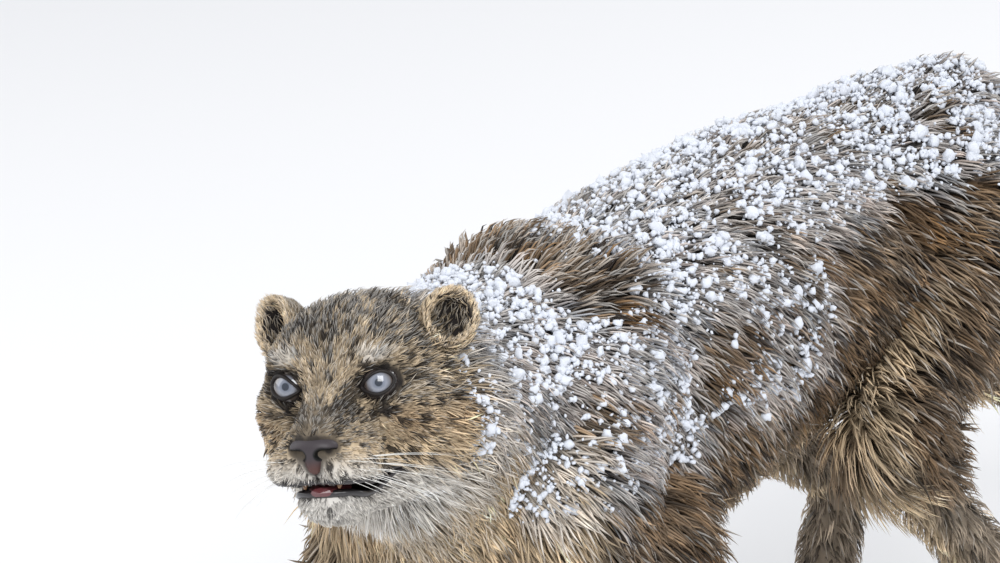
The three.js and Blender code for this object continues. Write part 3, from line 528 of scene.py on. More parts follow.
def head_tone(p):
    q = into_head(p)
    left, fore, up = np.abs(q[:, 0]), -q[:, 1], q[:, 2]
    tone = mixed(TAWNY * 0.6, TAWNY * 1.3, 0.5 + 0.7 * noise(p, 7, 1))
    cheek = smooth(left, 36, 60) * smooth(-up, -6, 22)
    tone = mixed(tone, OCHRE * 1.7, 0.4 * cheek * (0.7 + 0.5 * noise(p, 14, 6)))
    tone = mixed(tone, CREAM * 1.25, smooth(-up, 14, 40) * smooth(left, 20, 40) * 0.85)
    tone = mixed(tone, WHITE, smooth(-up, 46, 62) * smooth(fore, -70, -25) * 0.9)
    muzzle = smooth(fore, 84, 104) * smooth(-up, 34, 50)
    tone = mixed(tone, WHITE, muzzle * 0.7)
    distance, which = nearest(dot_centres, p)
    crown = smooth(up, 30, 62)
    size = 4.3 + 1.5 * np.sin(which * 12.9) + 1.8 * crown - 2.4 * muzzle - 0.9 * cheek
    dots = 1 - smooth(distance, size, size + 1.2)
    clear = 1 - smooth(-up, 50, 64) * (1 - muzzle)
    tone = mixed(tone, DARK, 0.9 * dots * clear)
    tone = mixed(tone, DARK, 0.85 * crown * smooth(noise(q * (0.45, 1, 1), 8, 4), 0.0, 0.25))
    for s in (1, -1):
        dark = np.maximum(spot(q, 21 * s, 84, 4, 6, 14, 14), spot(q, 14 * s, 102, -6, 7, 12, 9))
        dark = np.maximum(dark, spot(q, 44 * s, 72, -8, 14, 10, 4))
        dark = np.maximum(dark, spot(q, 72 * s, 36, -2, 9, 4, 9))
        tone = mixed(tone, DARK * 1.6, 0.8 * dark)
        tone = mixed(tone, WHITE, 0.6 * spot(q, 36 * s, 62, 38, 16, 24, 6))
    tone = mixed(tone, DARK, 0.85 * spot(q, -12, 52, 56, 26, 12, 10))
    bridge = smooth(fore, 94, 110) * smooth(-left, -22, -9) * smooth(up, -36, -22)
    tone = mixed(tone, GREY * 0.5, 0.75 * bridge)
    tone = mixed(tone, DARK, 0.95 * (1 - smooth(from_eye(q), 19, 24)))
    split = smooth(-left, -2.4, -0.8) * smooth(fore, 96, 104) * smooth(-up, 44, 50) * (up > -61)
    tone = mixed(tone, DARK, np.maximum(split, 0.8 * (1 - smooth(nose_form(q), 1.0, 4.5))))
    # The rim and gap of the mouth are painted black: black lip skin at the rim, and painted shade on
    # the walls of the gap.
    return mixed(tone, DARK, 1 - smooth(mouth_depth(q), 1.5, 4.0))


def tone_of(p):
    tone = body_tone(p)
    front = smooth(-p[:, 1], 330, 365) * (p[:, 2] > 330)
    if (front > 0).any():
        tone = mixed(tone, head_tone(p), front)
    return mixed(tone, SNOW, 0.3 * smooth(snow_cover(p), 0.45, 0.8))


def paint(item, tones):
    layer = item.data.color_attributes.new(name="tone", type="FLOAT_COLOR", domain="POINT")
    rgba = np.concatenate([np.clip(tones, 0, 1), np.ones((len(tones), 1))], 1)
    layer.data.foreach_set("color", np.ascontiguousarray(rgba, np.float32).ravel())


def coloured(name, roughness):
    material = bpy.data.materials.new(name)
    material.use_nodes = True
    shader = material.node_tree.nodes["Principled BSDF"]
    tone = material.node_tree.nodes.new("ShaderNodeAttribute")
    tone.attribute_name = "tone"
    material.node_tree.links.new(tone.outputs["Color"], shader.inputs["Base Color"])
    shader.inputs["Roughness"].default_value = roughness
    shader.inputs["Specular IOR Level"].default_value = 0.25
    return material


skin_material = coloured("short_fur", 0.85)
fur_material = coloured("long_fur", 0.7)
body_skin = mesh_of("skin", to_metres(body_points), body_tris)
head_skin = mesh_of("face_skin", to_metres(head_points), head_tris)
# Painted shade: the skin takes the coat's colours darkened, as shade under the coat, less so on the
# face.
paint(body_skin, tone_of(body_points) * 0.7)
paint(head_skin, tone_of(head_points) * 0.85)
for item in (body_skin, head_skin):
    item.data.materials.append(skin_material)
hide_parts("neck", "chest", "belly", "rump",
            *[f"tail_{k}" for k in range(1, 6)],
            *[f"{part}_{end}" for end in ("left", "right")
              for part in ("shoulder", "forearm", "forepaw", "thigh", "shank", "hindfoot", "hindpaw")])
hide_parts("head", "lower_jaw")

# Coat
# Winter fur in tufts of many hairs, each a thin closed blade that is rooted in the skin, lies
# along the body and overlaps the next. It is shortest on the face and feet.
PATCH = 0.003
MOST_SIDEWAYS = 175.0
LOWEST_TIP = 1.0
SHORT_STEPS = (0, 0.5)
LONG_STEPS = (0, 0.38, 0.72)


# The trunk is 0, the four legs 1 to 4, the tail 5 and the head 6.
def which_part(p):
    part = np.zeros(len(p), int)
    part[(p[:, 2] < 300) & (p[:, 1] < 60) & (p[:, 0] > 0)] = 1
    part[(p[:, 2] < 300) & (p[:, 1] < 60) & (p[:, 0] <= 0)] = 2
    part[(p[:, 2] < 320) & (p[:, 1] >= 60) & (p[:, 0] > 0)] = 3
    part[(p[:, 2] < 320) & (p[:, 1] >= 60) & (p[:, 0] <= 0)] = 4
    part[p[:, 1] > 540] = 5
    part[(p[:, 1] < -345) & (p[:, 2] > 330)] = 6
    return part


# Where each part lies on the colour map: left, bottom, width and height.
CHARTS = [(0.0, 0.0, 0.6, 0.45), *[(0.25 * leg, 0.47, 0.24, 0.26) for leg in range(4)],
          (0.0, 0.75, 1.0, 0.23), (0.62, 0.0, 0.37, 0.45)]
LEG_MIDDLES = {1: (108, -118), 2: (-100, -300), 3: (110, 300), 4: (-112, 360)}


def nearest_on_tail(p):
    return np.argmin(((p[None] - tail_line[:, None, :]) ** 2).sum(2), 0)


def unwrapped(p):
    uv = np.zeros((len(p), 2))
    part = which_part(p)
    for k, (u0, v0, wide, high) in enumerate(CHARTS):
        here = part == k
        q = p[here]
        if k == 0:
            along, turn = (q[:, 1] + 360) / 920, np.arctan2(q[:, 0], q[:, 2] - 430)
        elif k == 5:
            near = nearest_on_tail(q)
            along = near / (TAIL_STEPS - 1)
            turn = np.arctan2(q[:, 0] - tail_line[near, 0], q[:, 2] - tail_line[near, 2])
        elif k == 6:
            h = into_head(q)
            along, turn = (h[:, 1] + 130) / 210, np.arctan2(h[:, 0], h[:, 2] + 20)
        else:
            x, y = LEG_MIDDLES[k]
            along, turn = q[:, 2] / 330, np.arctan2(q[:, 0] - x, q[:, 1] - y)
        uv[here, 0] = u0 + wide * np.clip(along, 0.01, 0.99)
        uv[here, 1] = v0 + high * np.clip(turn / (2 * math.pi) + 0.5, 0.01, 0.99)
    return uv


# Points by chance on a surface, more of them where the weight is higher.
def scattered(points, tris, count, weight):
    a, b, c = points[tris[:, 0]], points[tris[:, 1]], points[tris[:, 2]]
    area = np.linalg.norm(np.cross(b - a, c - a), axis=1) * weight((a + b + c) / 3)
    chosen = random.choice(len(tris), count, p=area / area.sum())
    u, v = random.random(count), random.random(count)
    flip = u + v > 1
    u[flip], v[flip] = 1 - u[flip], 1 - v[flip]
    return a[chosen] + (b - a)[chosen] * u[:, None] + (c - a)[chosen] * v[:, None]


# The way hair lies at each place: back from the nose, along the trunk and tail, down the legs,
# and to the outside over the front of the knee.
def lie_of(p, n):
    back = np.tile((0.0, 1.0, -0.35), (len(p), 1))
    side = smooth(np.abs(n[:, 0]), 0.3, 0.9)
    back[:, 2] -= 0.65 * side
    leg = smooth(-p[:, 2], -300, -220)[:, None]
    knee = smooth(p[:, 1], 120, 190) * smooth(-n[:, 1], 0.0, 0.5) * smooth(-p[:, 2], -470, -420)
    knee = knee[:, None]
    outward = np.sign(p[:, :1]) * np.array((1.3, 0, 0)) + np.array((0, 0.1, -0.9))
    back = back * (1 - knee) + outward * knee
    lie = back * (1 - leg) + np.array((0, 0.3, -1.0)) * leg
    tail = p[:, 1] > 500
    if tail.any():
        slopes = np.gradient(tail_line, axis=0)
        lie[tail] = unit(slopes[nearest_on_tail(p[tail])])
    head = (p[:, 1] < -330) & (p[:, 2] > 330)
    q = into_head(p[head])
    away = q - at(0, 128, -26)
    away[:, 2] -= 34 * smooth(np.abs(q[:, 0]), 30, 70) * smooth(-q[:, 1], -60, 10)
    share = smooth(-p[head][:, 1], 330, 370)[:, None]
    lie[head] = unit(lie[head]) * (1 - share) + unit(away) @ head_turn.T * share
    lie = lie + random.normal(0, 0.16, lie.shape)
    lie = lie - n * (lie * n).sum(1, keepdims=True)
    return unit(lie)


# Wet fur draws together: the tips of neighbouring tufts lean to one of them and share its tone.
CLUMP_SIZE = 7
CLUMP_PULL = 0.5
CLUMP_REACH = 16


def clumped(tips):
    leaders = tips[::CLUMP_SIZE]
    _, leader = nearest(leaders, tips)
    return leaders[leader] - tips, np.random.default_rng(5).normal(0, 1, len(leaders))[leader]


def copies_of(faces, count, corners_each):
    return (np.arange(count)[:, None, None] * corners_each + np.array(faces)[None]).reshape(-1, 3)


# Each tuft is a three-sided blade that narrows in steps to its tip.
def tufts(name, roots, normals, lies, length, width, rise, tone, bend, droop=0.0,
          steps=LONG_STEPS, spread=0.28):
    count = len(roots)
    across = np.cross(normals, lies)
    swing = random.normal(0, 1, (count, 1)) * bend
    pull, mood = clumped(roots + lies * length[:, None] + normals * rise[:, None])
    far = np.linalg.norm(pull, axis=1, keepdims=True) + 1e-6
    pull = pull * np.minimum(1, CLUMP_REACH / far) * CLUMP_PULL
    rings = []
    for t in (*steps, 1.0):
        lifted = rise * (1 - (1 - t) ** 2) - 1.5 * (t == 0)
        sag = np.array((0, 0, -1.0)) * (droop * length * t * t)[:, None]
        centre = roots + lies * (length * t)[:, None] + normals * lifted[:, None]
        centre = centre + across * swing * t * t * length[:, None] + sag + pull * t ** 1.5
        if t == 1:
            rings.append(centre)
            break
        half = (width * 0.5 * (1 - 0.75 * t * t))[:, None]
        rings += [centre + across * half, centre - across * half, centre + normals * half * 0.8]
    per = len(rings)
    points = np.stack(rings, 1).reshape(-1, 3)
    points[:, 0] = np.clip(points[:, 0], -MOST_SIDEWAYS, MOST_SIDEWAYS)
    points[:, 2] = np.maximum(points[:, 2], LOWEST_TIP)
    faces = [(0, 1, 2)]
    for k in range(len(steps) - 1):
        for i in range(3):
            j = (i + 1) % 3
            faces.append((3 * k + i, 3 * k + 3 + i, 3 * k + j))
            faces.append((3 * k + j, 3 * k + 3 + i, 3 * k + 3 + j))
    last = 3 * (len(steps) - 1)
    faces += [(last + i, per - 1, last + (i + 1) % 3) for i in range(3)]
    tris = copies_of(faces, count, per)
    item = mesh_of(name, to_metres(points), tris)
    item.data.materials.append(fur_material)
    along = np.repeat((*steps, 1.0), [3] * len(steps) + [1])
    # Painted shade and light: each blade is darkened towards its root, deep in the coat, and brightened
    # past its own tone at its tip.
    shade = 0.42 + 0.72 * along ** 0.7
    tone = tone * np.exp(spread * mood[:, None] + random.normal(0, 0.14, (count, 1)))
    frosted = (random.random(count) < frost_share(roots, normals))[:, None]
    whiter = (0.62 * along ** 1.4)[None, :, None] * frosted[:, None, :]
    colours = tone[:, None, :] * shade[None, :, None]
    paint(item, (colours * (1 - whiter) + WHITE * whiter).reshape(-1, 3))
    corner = np.array([((k % 3) - 1, k // 3 - 1.5) for k in range(per)]) * PATCH / 3
    uv = (unwrapped(roots)[:, None, :] + corner[None]).reshape(-1, 2)
    layer = item.data.uv_layers.new(name="OFBake")
    layer.data.foreach_set("uv", np.ascontiguousarray(uv[tris.ravel()], np.float32).ravel())


def grow(name, surface, count, weight, size, **more):
    roots = scattered(*surface, count, weight)
    normals = slope_of(whole_field, roots)
    lies = lie_of(roots, normals)
    length, width, rise = size(roots)
    vary = random.uniform(0.75, 1.25, len(roots))
    tufts(name, roots, normals, lies, length * vary, width * vary, rise * vary, tone_of(roots),
          **more)


body_surface = (body_points, body_tris)
head_surface = (head_points, head_tris)


def region(low, high, floor, ceiling=700.0):
    def in_region(p):
        y, z = p[:, 1], p[:, 2]
        return 1.0 * ((y >= low) & (y < high) & (z >= floor) & (z < ceiling))
    return in_region


def long_size(p):
    depth = coat_depth(p)
    fringe = smooth(-p[:, 2], -400, -300) * smooth(p[:, 2], 200, 250)
    crest = smooth(p[:, 1], -225, -195) * smooth(-p[:, 1], 95, 130) * smooth(p[:, 2], 520, 545)
    return 12 + 0.95 * depth + 14 * fringe, 1.1 + 0.065 * depth, depth * (0.84 + 0.25 * crest)


def leg_size(p):
    depth = coat_depth(p)
    low = smooth(-p[:, 2], -75, -40)
    return (22 - 9 * low), (1.9 - 0.5 * low), depth * 0.8


for name, count, place, bend, droop in (
        ("neck", 11500, region(-345, -180, 250), 0.12, 0.12),
        ("shoulders", 11500, region(-180, 10, 250), 0.12, 0.1),
        ("flanks", 11500, region(10, 220, 230), 0.12, 0.1),
        ("rump", 10500, region(220, 540, 330), 0.12, 0.1),
        ("tail", 6500, region(480, 1300, 60), 0.14, 0.04)):
    grow(f"coat_{name}", body_surface, count, place, long_size, bend=bend, droop=droop)
for name, place in (
        ("forelegs", region(-480, 10, 4, 255)),
        ("hindlegs", region(140, 500, 4, 335))):
    grow(f"coat_{name}", body_surface, 7000, place, leg_size, bend=0.08, steps=SHORT_STEPS)


# Face hair is a fine nap. It leaves the eyes, nose leather and lips bare.
def bare_share(p):
    q = into_head(p)
    free = (from_eye(q) > 18.8) & (nose_form(q) > 1.0) & (mouth_depth(q) > 1.8)
    return free * (skull(q) > -26)


def face_weight(p):
    q = into_head(p)
    return bare_share(p) * (1 - 0.9 * smooth(q[:, 1], -20, 20))


def cheek_weight(p):
    q = into_head(p)
    return bare_share(p) * smooth(q[:, 1], -40, -5)


def face_size(p):
    q = into_head(p)
    far = smooth(q[:, 1], -70, 0)
    muzzle = smooth(-q[:, 1], 80, 100)
    return 9.5 + 9 * far - 3 * muzzle, 0.95 + 0.4 * far, 3.0 + 3.5 * far - 1.0 * muzzle


def cheek_size(p):
    q = into_head(p)
    side = smooth(np.abs(q[:, 0]), 20, 60) * smooth(-q[:, 2], -40, 20)
    depth = coat_depth(p)
    return 15 + 0.9 * depth + 16 * side, 1.3 + 0.5 * side, depth * 0.85


grow("coat_face", head_surface, 18500, face_weight, face_size, bend=0.05, steps=SHORT_STEPS,
     spread=0.14)
grow("coat_cheeks", head_surface, 11000, cheek_weight, cheek_size, bend=0.1, droop=0.08)

# Snow crust
# Lumps and grains of dry snow that cling to the tips of the coat on the nape, shoulders and
# back, in clusters with fur showing between them. Each is a rough, smoothly shaded ball of few faces.
golden = (1 + 5 ** 0.5) / 2
GRAIN = unit(np.array([(-1, golden, 0), (1, golden, 0), (-1, -golden, 0), (1, -golden, 0),
                       (0, -1, golden), (0, 1, golden), (0, -1, -golden), (0, 1, -golden),
                       (golden, 0, -1), (golden, 0, 1), (-golden, 0, -1), (-golden, 0, 1)], float))
GRAIN_FACES = np.array([
    (0, 11, 5), (0, 5, 1), (0, 1, 7), (0, 7, 10), (0, 10, 11), (1, 5, 9), (5, 11, 4), (11, 10, 2),
    (10, 7, 6), (7, 1, 8), (3, 9, 4), (3, 4, 2), (3, 2, 6), (3, 6, 8), (3, 8, 9), (4, 9, 5),
    (2, 4, 11), (6, 2, 10), (8, 6, 7), (9, 8, 1)])


# The same ball with each face split in four.
def finer(points, faces):
    points, made, seen = list(points), [], {}

    def middle(a, b):
        key = (min(a, b), max(a, b))
        if key not in seen:
            seen[key] = len(points)
            points.append((points[a] + points[b]) / np.linalg.norm(points[a] + points[b]))
        return seen[key]

    for a, b, c in faces:
        ab, bc, ca = middle(a, b), middle(b, c), middle(c, a)
        made += [(a, ab, ca), (b, bc, ab), (c, ca, bc), (ab, bc, ca)]
    return np.array(points), np.array(made)


def plain(name, colour, roughness, coat=0.0):
    material = bpy.data.materials.new(name)
    material.use_nodes = True
    shader = material.node_tree.nodes["Principled BSDF"]
    shader.inputs["Base Color"].default_value = (*colour, 1)
    shader.inputs["Roughness"].default_value = roughness
    shader.inputs["Coat Weight"].default_value = coat
    return material


def lump_weight(p):
    return smooth(snow_cover(p), 0.5, 0.75) + 1e-9


def grain_weight(p):
    return 0.5 * smooth(snow_cover(p), 0.3, 0.7) + 0.35 * smooth(p[:, 2], 500, 570) + 1e-9


snow_material = plain("snow", (0.70, 0.73, 0.79), 0.8)
for name, count, small, large, shape, weight in (
        ("snow_lumps", 1900, 2.4, 6.0, finer(GRAIN, GRAIN_FACES), lump_weight),
        ("snow_grains_large", 8000, 1.6, 4.0, (GRAIN, GRAIN_FACES), lump_weight),
        ("snow_grains_small", 3000, 0.8, 1.9, (GRAIN, GRAIN_FACES), grain_weight)):
    points, faces = shape
    roots = scattered(*body_surface, count, weight)
    normals = slope_of(whole_field, roots)
    height = coat_depth(roots) * random.uniform(0.6, 0.9, count)
    sizes = small + (large - small) * random.random(count) ** 2.5
    centres = roots + normals * height[:, None]
    stretch = random.uniform(0.7, 1.3, (count, 1, 3))
    rough = 1 + random.normal(0, 0.24, (count, len(points), 1))
    lumps = centres[:, None] + points[None] * rough * stretch * sizes[:, None, None]
    tris = copies_of(faces, count, len(points))
    crust = mesh_of(name, to_metres(lumps.reshape(-1, 3)), tris)
    crust.data.materials.append(snow_material)

# Eyes
# Wet globes with a pale, milky iris and a small round pupil, set deep between black-rimmed lids.
# Their colours lie in rings around the way that the eye looks.
GAZE = unit(np.array([[0.30, -0.95, 0.10]]))[0]
EYE_TURN = math.radians(20)
PUPIL = (0.012, 0.02, 0.035)
EYE_RIM = (0.04, 0.03, 0.03)
IRIS_RINGS = [(0.70, (0.02, 0.017, 0.017)), (0.78, (0.09, 0.07, 0.06)),
              (0.86, (0.15, 0.155, 0.175)), (0.93, (0.22, 0.235, 0.28)),
              (0.974, (0.16, 0.18, 0.225)), (0.984, PUPIL)]


def eye_axis(s):
    return at(math.sin(EYE_TURN) * s, math.cos(EYE_TURN), 0.1)


def eye_material():
    material = bpy.data.materials.new("eye")
    material.use_nodes = True
    nodes, links = material.node_tree.nodes, material.node_tree.links
    shader = nodes["Principled BSDF"]
    place = nodes.new("ShaderNodeTexCoord")
    split = nodes.new("ShaderNodeSeparateXYZ")
    ramp = nodes.new("ShaderNodeValToRGB")
    links.new(place.outputs["Object"], split.inputs[0])
    scaled = nodes.new("ShaderNodeMath")
    scaled.operation = "MULTIPLY"
    scaled.inputs[1].default_value = 1000 / EYE_RADIUS
    links.new(split.outputs["Z"], scaled.inputs[0])
    links.new(scaled.outputs[0], ramp.inputs[0])
    for height, colour in IRIS_RINGS:
        ramp.color_ramp.elements.new(height).color = (*colour, 1)
    ramp.color_ramp.elements[0].color = (*EYE_RIM, 1)
    ramp.color_ramp.elements[-1].color = (*PUPIL, 1)
    links.new(ramp.outputs[0], shader.inputs["Base Color"])
    shader.inputs["Roughness"].default_value = 0.12
    shader.inputs["Coat Weight"].default_value = 1.0
    shader.inputs["Coat Roughness"].default_value = 0.02
    return material


iris = eye_material()
for end, s in (("left", 1), ("right", -1)):
    centre = to_metres(from_head(at(EYE_SPREAD * s, EYE_FORE, EYE_UP)))
    gaze = head_turn @ (GAZE + eye_axis(s))
    turn = Vector(gaze).to_track_quat("Z", "Y").to_matrix().to_4x4()
    bpy.ops.mesh.primitive_uv_sphere_add(segments=40, ring_count=24, radius=EYE_RADIUS * 0.001)
    globe = bpy.context.object
    globe.name = f"globe_{end}"
    globe.matrix_world = Matrix.Translation(Vector(centre)) @ turn
    globe.data.polygons.foreach_set("use_smooth", [True] * len(globe.data.polygons))
    globe.data.materials.append(iris)
    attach(globe, "root")
    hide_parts(f"eye_{end}")

# Lids
# Folds of black skin that close over each globe to an almond, drawn out to the tear duct. The
# two lids of an eye are one closed ring that lies on the globe.
lid_material = coloured("lid_skin", 0.5)

# Each corner of the ring's section: its spread from the opening and its height off the globe.
LID_SECTION = [(1.0, 0.2), (1.0, 1.5), (1.1, 2.1), (1.25, 2.1), (1.5, 0.2), (1.5, -3.0), (1.2, -3.0)]
LID_STEPS = 44
HALF_WIDE = 40
HALF_TALL = 27
TEAR_DUCT = 13
SLANT = 7

for end, s in (("left", 1), ("right", -1)):
    axis = unit(eye_axis(s)[None])[0]
    side = np.cross((0, 0, 1), axis)
    side /= np.linalg.norm(side)
    high = np.cross(axis, side)
    outer = 1 if side[0] * s > 0 else -1
    corners, faces = [], []
    for k in range(LID_STEPS):
        angle = 2 * math.pi * k / LID_STEPS
        duct = max(-math.cos(angle), 0) ** 4
        half_wide = (HALF_WIDE + TEAR_DUCT * duct) * math.cos(angle) * outer
        half_tall = HALF_TALL * math.sin(angle) + (SLANT + SLANT * duct) * math.cos(angle)
        for spread, lift in LID_SECTION:
            wide = math.radians(half_wide * (1 + (spread - 1) * 0.7))
            tall = math.radians(half_tall * spread)
            aim = axis + side * math.tan(wide) + high * math.tan(tall)
            aim *= (EYE_RADIUS + lift) / np.linalg.norm(aim)
            corners.append(at(EYE_SPREAD * s, EYE_FORE, EYE_UP) + aim)
    across = len(LID_SECTION)
    for k in range(LID_STEPS):
        for i in range(across):
            a, b = k * across + i, k * across + (i + 1) % across
            c, d = (k + 1) % LID_STEPS * across + i, (k + 1) % LID_STEPS * across + (i + 1) % across
            faces += [(a, c, b), (b, c, d)] if outer > 0 else [(a, b, c), (b, d, c)]
    lids = mesh_of(f"lids_{end}", to_metres(from_head(np.array(corners))), np.array(faces))
    paint(lids, np.tile(DARK, (len(corners), 1)))
    lids.data.materials.append(lid_material)

# Lips
# Black, hairless edges of the mouth that meet at the corners under the cheeks. Each follows
# the outside of the skull at its own height.
LIP_STEPS = 60
LIP_SWEEP = 122
LIP_MIDDLE = 66
LIP_SINK = 3.4
LIP_THICKNESS = 1.8


def rod(points, radii, sides=8):
    points = np.array(points, float)
    count = len(points)
    slopes = unit(np.gradient(points, axis=0))
    u = unit(np.cross(np.tile((0.31, 0.2, 0.93), (count, 1)), slopes))
    v = np.cross(slopes, u)
    rows = [points + (u * math.cos(a) + v * math.sin(a)) * np.array(radii, float)[:, None]
            for a in np.linspace(0, 2 * math.pi, sides, endpoint=False)]
    corners = np.vstack([np.stack(rows, 1).reshape(-1, 3), points[0], points[-1]])
    first, final = len(corners) - 2, len(corners) - 1
    faces = []
    for i in range(count - 1):
        for k in range(sides):
            a, b = i * sides + k, i * sides + (k + 1) % sides
            c, d = a + sides, b + sides
            faces += [(a, b, c), (b, d, c)]
    for k in range(sides):
        j = (k + 1) % sides
        faces += [(j, k, first), ((count - 1) * sides + k, (count - 1) * sides + j, final)]
    return corners, np.array(faces)


lip_material = plain("black_lip", (0.018, 0.015, 0.016), 0.35, 0.4)
for name, offset, low in (("upper", 0.6, 0), ("lower", -1.4, 1)):
    path = []
    for angle in np.radians(np.linspace(-LIP_SWEEP, LIP_SWEEP, LIP_STEPS)):
        reach = np.linspace(5, 80, 300)
        fore = LIP_MIDDLE + reach * math.cos(angle)
        up = lip_levels(fore)[low] + offset
        line = np.stack([reach * math.sin(angle), -fore, up], 1)
        inside = skull(line) < -LIP_SINK
        last = np.argmin(inside) if not inside.all() else len(reach) - 1
        path.append(line[max(last - 1, 0)])
    swell = np.sin(np.linspace(0, math.pi, LIP_STEPS)) * (1 + low * 0.5)
    corners, faces = rod(path, LIP_THICKNESS + swell)
    lip = mesh_of(f"lip_{name}", to_metres(from_head(corners)), faces)
    lip.data.materials.append(lip_material)

# Nose leather
# A bare, moist pad with a comma-shaped nostril on each side, dark above and redder below. It is
# one closed surface with the nostrils cut into it, set in the end of the muzzle.
NOSE_BLACK = np.array((0.05, 0.042, 0.046))
NOSE_RED = np.array((0.09, 0.042, 0.036))
# Painted shade in the nostrils.
NOSTRIL_SHADE = 0.004
nostrils = blended([
    *both(lambda s: ball(at(10.5 * s, 128, NOSE_UP - 2), (6.5, 9, 5.5), 2)),
    *both(lambda s: ball(at(17 * s, 122, NOSE_UP), (6, 9, 2.8), 2)),
])
nose_points, nose_tris = surface_of(
    lambda q: np.maximum(nose_form(q), -nostrils(q)), (-26, -142, -64), (26, -98, -16), 0.9)
nose = mesh_of("nose_pad", to_metres(from_head(nose_points)), nose_tris)
low_share = smooth(-nose_points[:, 2], 38, 50) * smooth(-np.abs(nose_points[:, 0]), -12, -4)
# Painted shade: the pits of the nostrils are painted near-black.
nostril_shade_share = 1 - smooth(nostrils(nose_points), 0.4, 2.0)
paint(nose, mixed(mixed(NOSE_BLACK, NOSE_RED, low_share), NOSTRIL_SHADE, nostril_shade_share))
nose.data.materials.append(coloured("nose_leather", 0.42))
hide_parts("nose_leather")

# Ears
# Short round cups of skin, painted dark as shade in the hollow. Their fur is tawny outside and
# pale at the rim, painted darker as shade towards the base of the ear, and longer pale hairs
# stand before the hollow.
EAR_PLACE = (64, -30, 54)
EAR_SCALE = (0.92, 1.1, 1.0)
EAR_TUFTS = 3800
EAR_SIDES = 28

# Radius and height of each row: up the outside, over the rim and down into the hollow.
EAR_PROFILE = [(0, -6), (14, -3), (22, 7), (25, 21), (24, 23), (20, 21), (17, 11), (9, 5), (0, 3)]
INNER_ROW = 5


def ear_root(s):
    return at(EAR_PLACE[0] * s, *EAR_PLACE[1:])


def ear_surface(s):
    opening = unit(at(0.6 * s, 0.78, 0.2)[None])[0]
    high = at(0.42 * s, -0.1, 0.9)
    side = unit(np.cross(opening, high)[None])[0]
    top = np.cross(side, opening)
    points = []
    for r, h in EAR_PROFILE:
        for k in range(EAR_SIDES):
            a = 2 * math.pi * k / EAR_SIDES
            along = side * math.sin(a) * EAR_SCALE[0] + top * math.cos(a) * EAR_SCALE[2]
            points.append(ear_root(s) + along * r + opening * h * EAR_SCALE[1])
    faces = []
    for i in range(len(EAR_PROFILE) - 1):
        for k in range(EAR_SIDES):
            a, b = i * EAR_SIDES + k, i * EAR_SIDES + (k + 1) % EAR_SIDES
            faces += [(a, a + EAR_SIDES, b), (b, a + EAR_SIDES, b + EAR_SIDES)]
    return np.array(points), np.array(faces), opening


for end, s in (("left", 1), ("right", -1)):
    points, faces, opening = ear_surface(s)
    a, b, c = points[faces[:, 0]], points[faces[:, 1]], points[faces[:, 2]]
    face_normals = unit(np.cross(b - a, c - a))
    outward = (face_normals * ((a + b + c) / 3 - points.mean(0))).sum(1)
    if (outward * (face_normals @ opening < 0)).sum() < 0:
        faces, face_normals = faces[:, ::-1], -face_normals
    ear = mesh_of(f"ear_{end}_skin", to_metres(from_head(points)), faces)
    # Painted shade: the skin of the hollow is painted dark.
    hollow_shade = np.repeat([0, 0, 0, 0, 0.3, 1, 1, 1, 1], EAR_SIDES)
    paint(ear, mixed(GREY, DARK, hollow_shade))
    ear.data.materials.append(skin_material)
    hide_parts(f"ear_{end}")
    area = np.linalg.norm(np.cross(b - a, c - a), axis=1)
    within = np.arange(len(faces)) >= INNER_ROW * EAR_SIDES * 2
    crown_side = unit(at(-s, 0.2, -0.5)[None])[0]
    towards_crown = smooth(((a + b + c) / 3 - ear_root(s)) @ crown_side, -6, 14)
    chance = area * np.where(within, 0.15 + 0.85 * towards_crown, 1.0)
    chosen = random.choice(len(faces), EAR_TUFTS, p=chance / chance.sum())
    weights = random.dirichlet((1, 1, 1), len(chosen))
    roots = (points[faces[chosen]] * weights[:, :, None]).sum(1)
    normals = face_normals[chosen] @ head_turn.T
    up_ear = from_head(at(0.5 * s, -0.2, 0.9)[None])[0] - HEAD_CENTRE
    lies = np.tile(up_ear, (len(roots), 1)) + random.normal(0, 0.25, roots.shape)
    lies = unit(lies - normals * (lies * normals).sum(1, keepdims=True))
    inner = within[chosen]
    # Painted shade: the tufts are darker towards the base of the ear and paler towards the rim.
    rim = smooth((roots - ear_root(s)) @ opening, 16, 24)[:, None]
    tone = np.where(inner[:, None], CREAM, TAWNY) * (0.45 + 0.9 * rim)
    length = np.where(inner, 12.0, 8.5)
    tufts(f"coat_ear_{end}", from_head(roots), normals, lies, length, np.full(len(roots), 1.0),
          np.where(inner, 3.5, 2.4), tone, bend=0.1, steps=SHORT_STEPS, spread=0.15)

# Mouth
# The lips part a little over a gap, painted dark as shade, with a pink, wet tongue and two short
# worn teeth, which stand at the front of the upper jaw.
TOOTH_RADIUS = 3
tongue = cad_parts["tongue"]
tongue.data.materials.clear()
tongue.data.materials.append(plain("tongue_pink", (0.12, 0.03, 0.034), 0.35, 0.5))
tooth_material = plain("worn_tooth", (0.22, 0.11, 0.045), 0.35, 0.4)
for name, s in (("left", 1), ("right", -1)):
    steps = np.linspace(0, 1, 6)
    path = [at(15 * s, 103 + 2 * t, -60 - 6 * t) for t in steps]
    corners, faces = rod(path, TOOTH_RADIUS * (1 - 0.6 * steps ** 1.5), 10)
    tooth = mesh_of(f"tooth_{name}", to_metres(from_head(corners)), faces)
    tooth.data.materials.append(tooth_material)

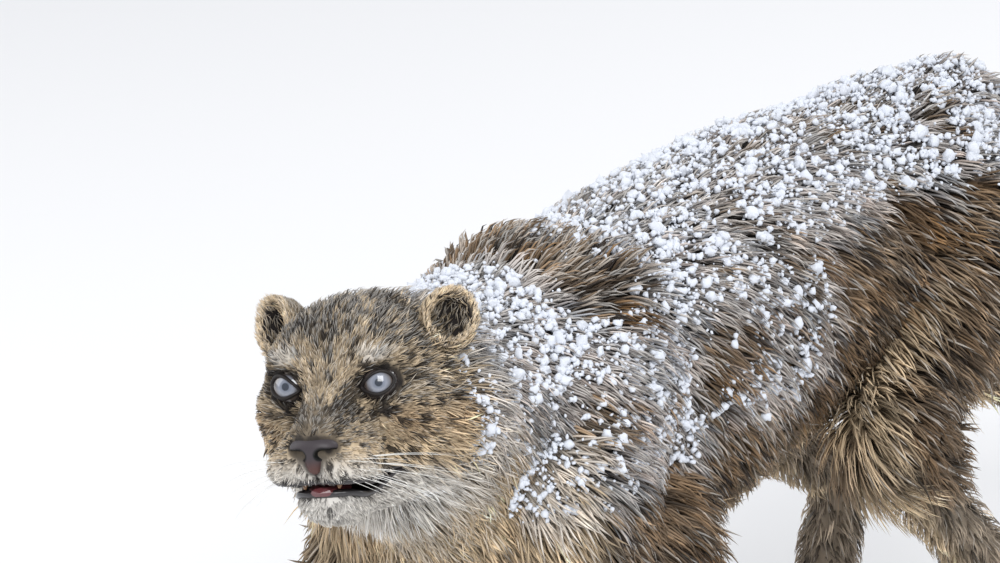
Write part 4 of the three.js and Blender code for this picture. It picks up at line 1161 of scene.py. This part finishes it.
# Whiskers
# Stiff white bristles in four rows on each whisker pad, swept out and back. Each is a thin rod
# that narrows to its tip, rooted in the muzzle.
WHISKER_ROWS = 4
WHISKERS_IN_ROW = 4
WHISKER_RADIUS = 0.36
whisker_material = plain("whisker", (0.85, 0.84, 0.80), 0.4)
all_points, all_faces = [], []
for s in (1, -1):
    for row in range(WHISKER_ROWS):
        for place in range(WHISKERS_IN_ROW):
            root = at((20 + 5.0 * place) * s, 118 - 7 * place - 1.5 * row, -43 - 4.2 * row)
            reach = 46 + 11 * place + random.uniform(-8, 8)
            steps = np.linspace(0, 1, 7)
            rise = 0.12 - 0.14 * row + random.uniform(-0.06, 0.06)
            out = at(0.86 * s, 0.36 - 0.16 * place, rise) * reach
            back = at(0.05 * s, -0.5, -0.18) * reach
            path = [root + out * t + back * t * t for t in steps]
            corners, faces = rod(path, WHISKER_RADIUS * (1 - 0.85 * steps), 4)
            all_faces.append(faces + sum(len(p) for p in all_points))
            all_points.append(corners)
whiskers = mesh_of("whiskers", to_metres(from_head(np.vstack(all_points))), np.vstack(all_faces))
whiskers.data.materials.append(whisker_material)

# Studio
# A pale floor and a plain pale surround with three broad soft lights: the main one from the
# animal's left, a weaker one from its right and one from behind.
bpy.ops.mesh.primitive_plane_add(size=30, location=(0, 0, -0.0005))
floor = bpy.context.object
floor.name = "floor"
floor.data.materials.append(plain("pale_floor", (0.82, 0.82, 0.82), 0.9))
floor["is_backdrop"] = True

world = bpy.data.worlds.new("surround")
world.use_nodes = True
world.node_tree.nodes["Background"].inputs["Color"].default_value = (0.93, 0.95, 1.0, 1)
world.node_tree.nodes["Background"].inputs["Strength"].default_value = 0.75
bpy.context.scene.world = world


def soft_light(name, place, aim, size, power):
    light = bpy.data.objects.new(name, bpy.data.lights.new(name, "AREA"))
    light.data.size = size
    light.data.energy = power
    light.location = place
    light.rotation_mode = "QUATERNION"
    light.rotation_quaternion = (Vector(place) - Vector(aim)).to_track_quat("Z", "Y")
    bpy.context.scene.collection.objects.link(light)


soft_light("key", (2.2, -2.6, 3.2), (0, -0.4, 0.4), 2.2, 110)
soft_light("fill", (-2.8, -2.0, 1.8), (0, -0.3, 0.4), 2.5, 35)
soft_light("rim", (0.5, 3.0, 3.0), (0, 0.2, 0.4), 2.0, 60)
bpy.context.scene.view_settings.view_transform = "Standard"

sizes = {"solids": [list(c) for c in solid_box], "dressed": [list(c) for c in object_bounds()]}
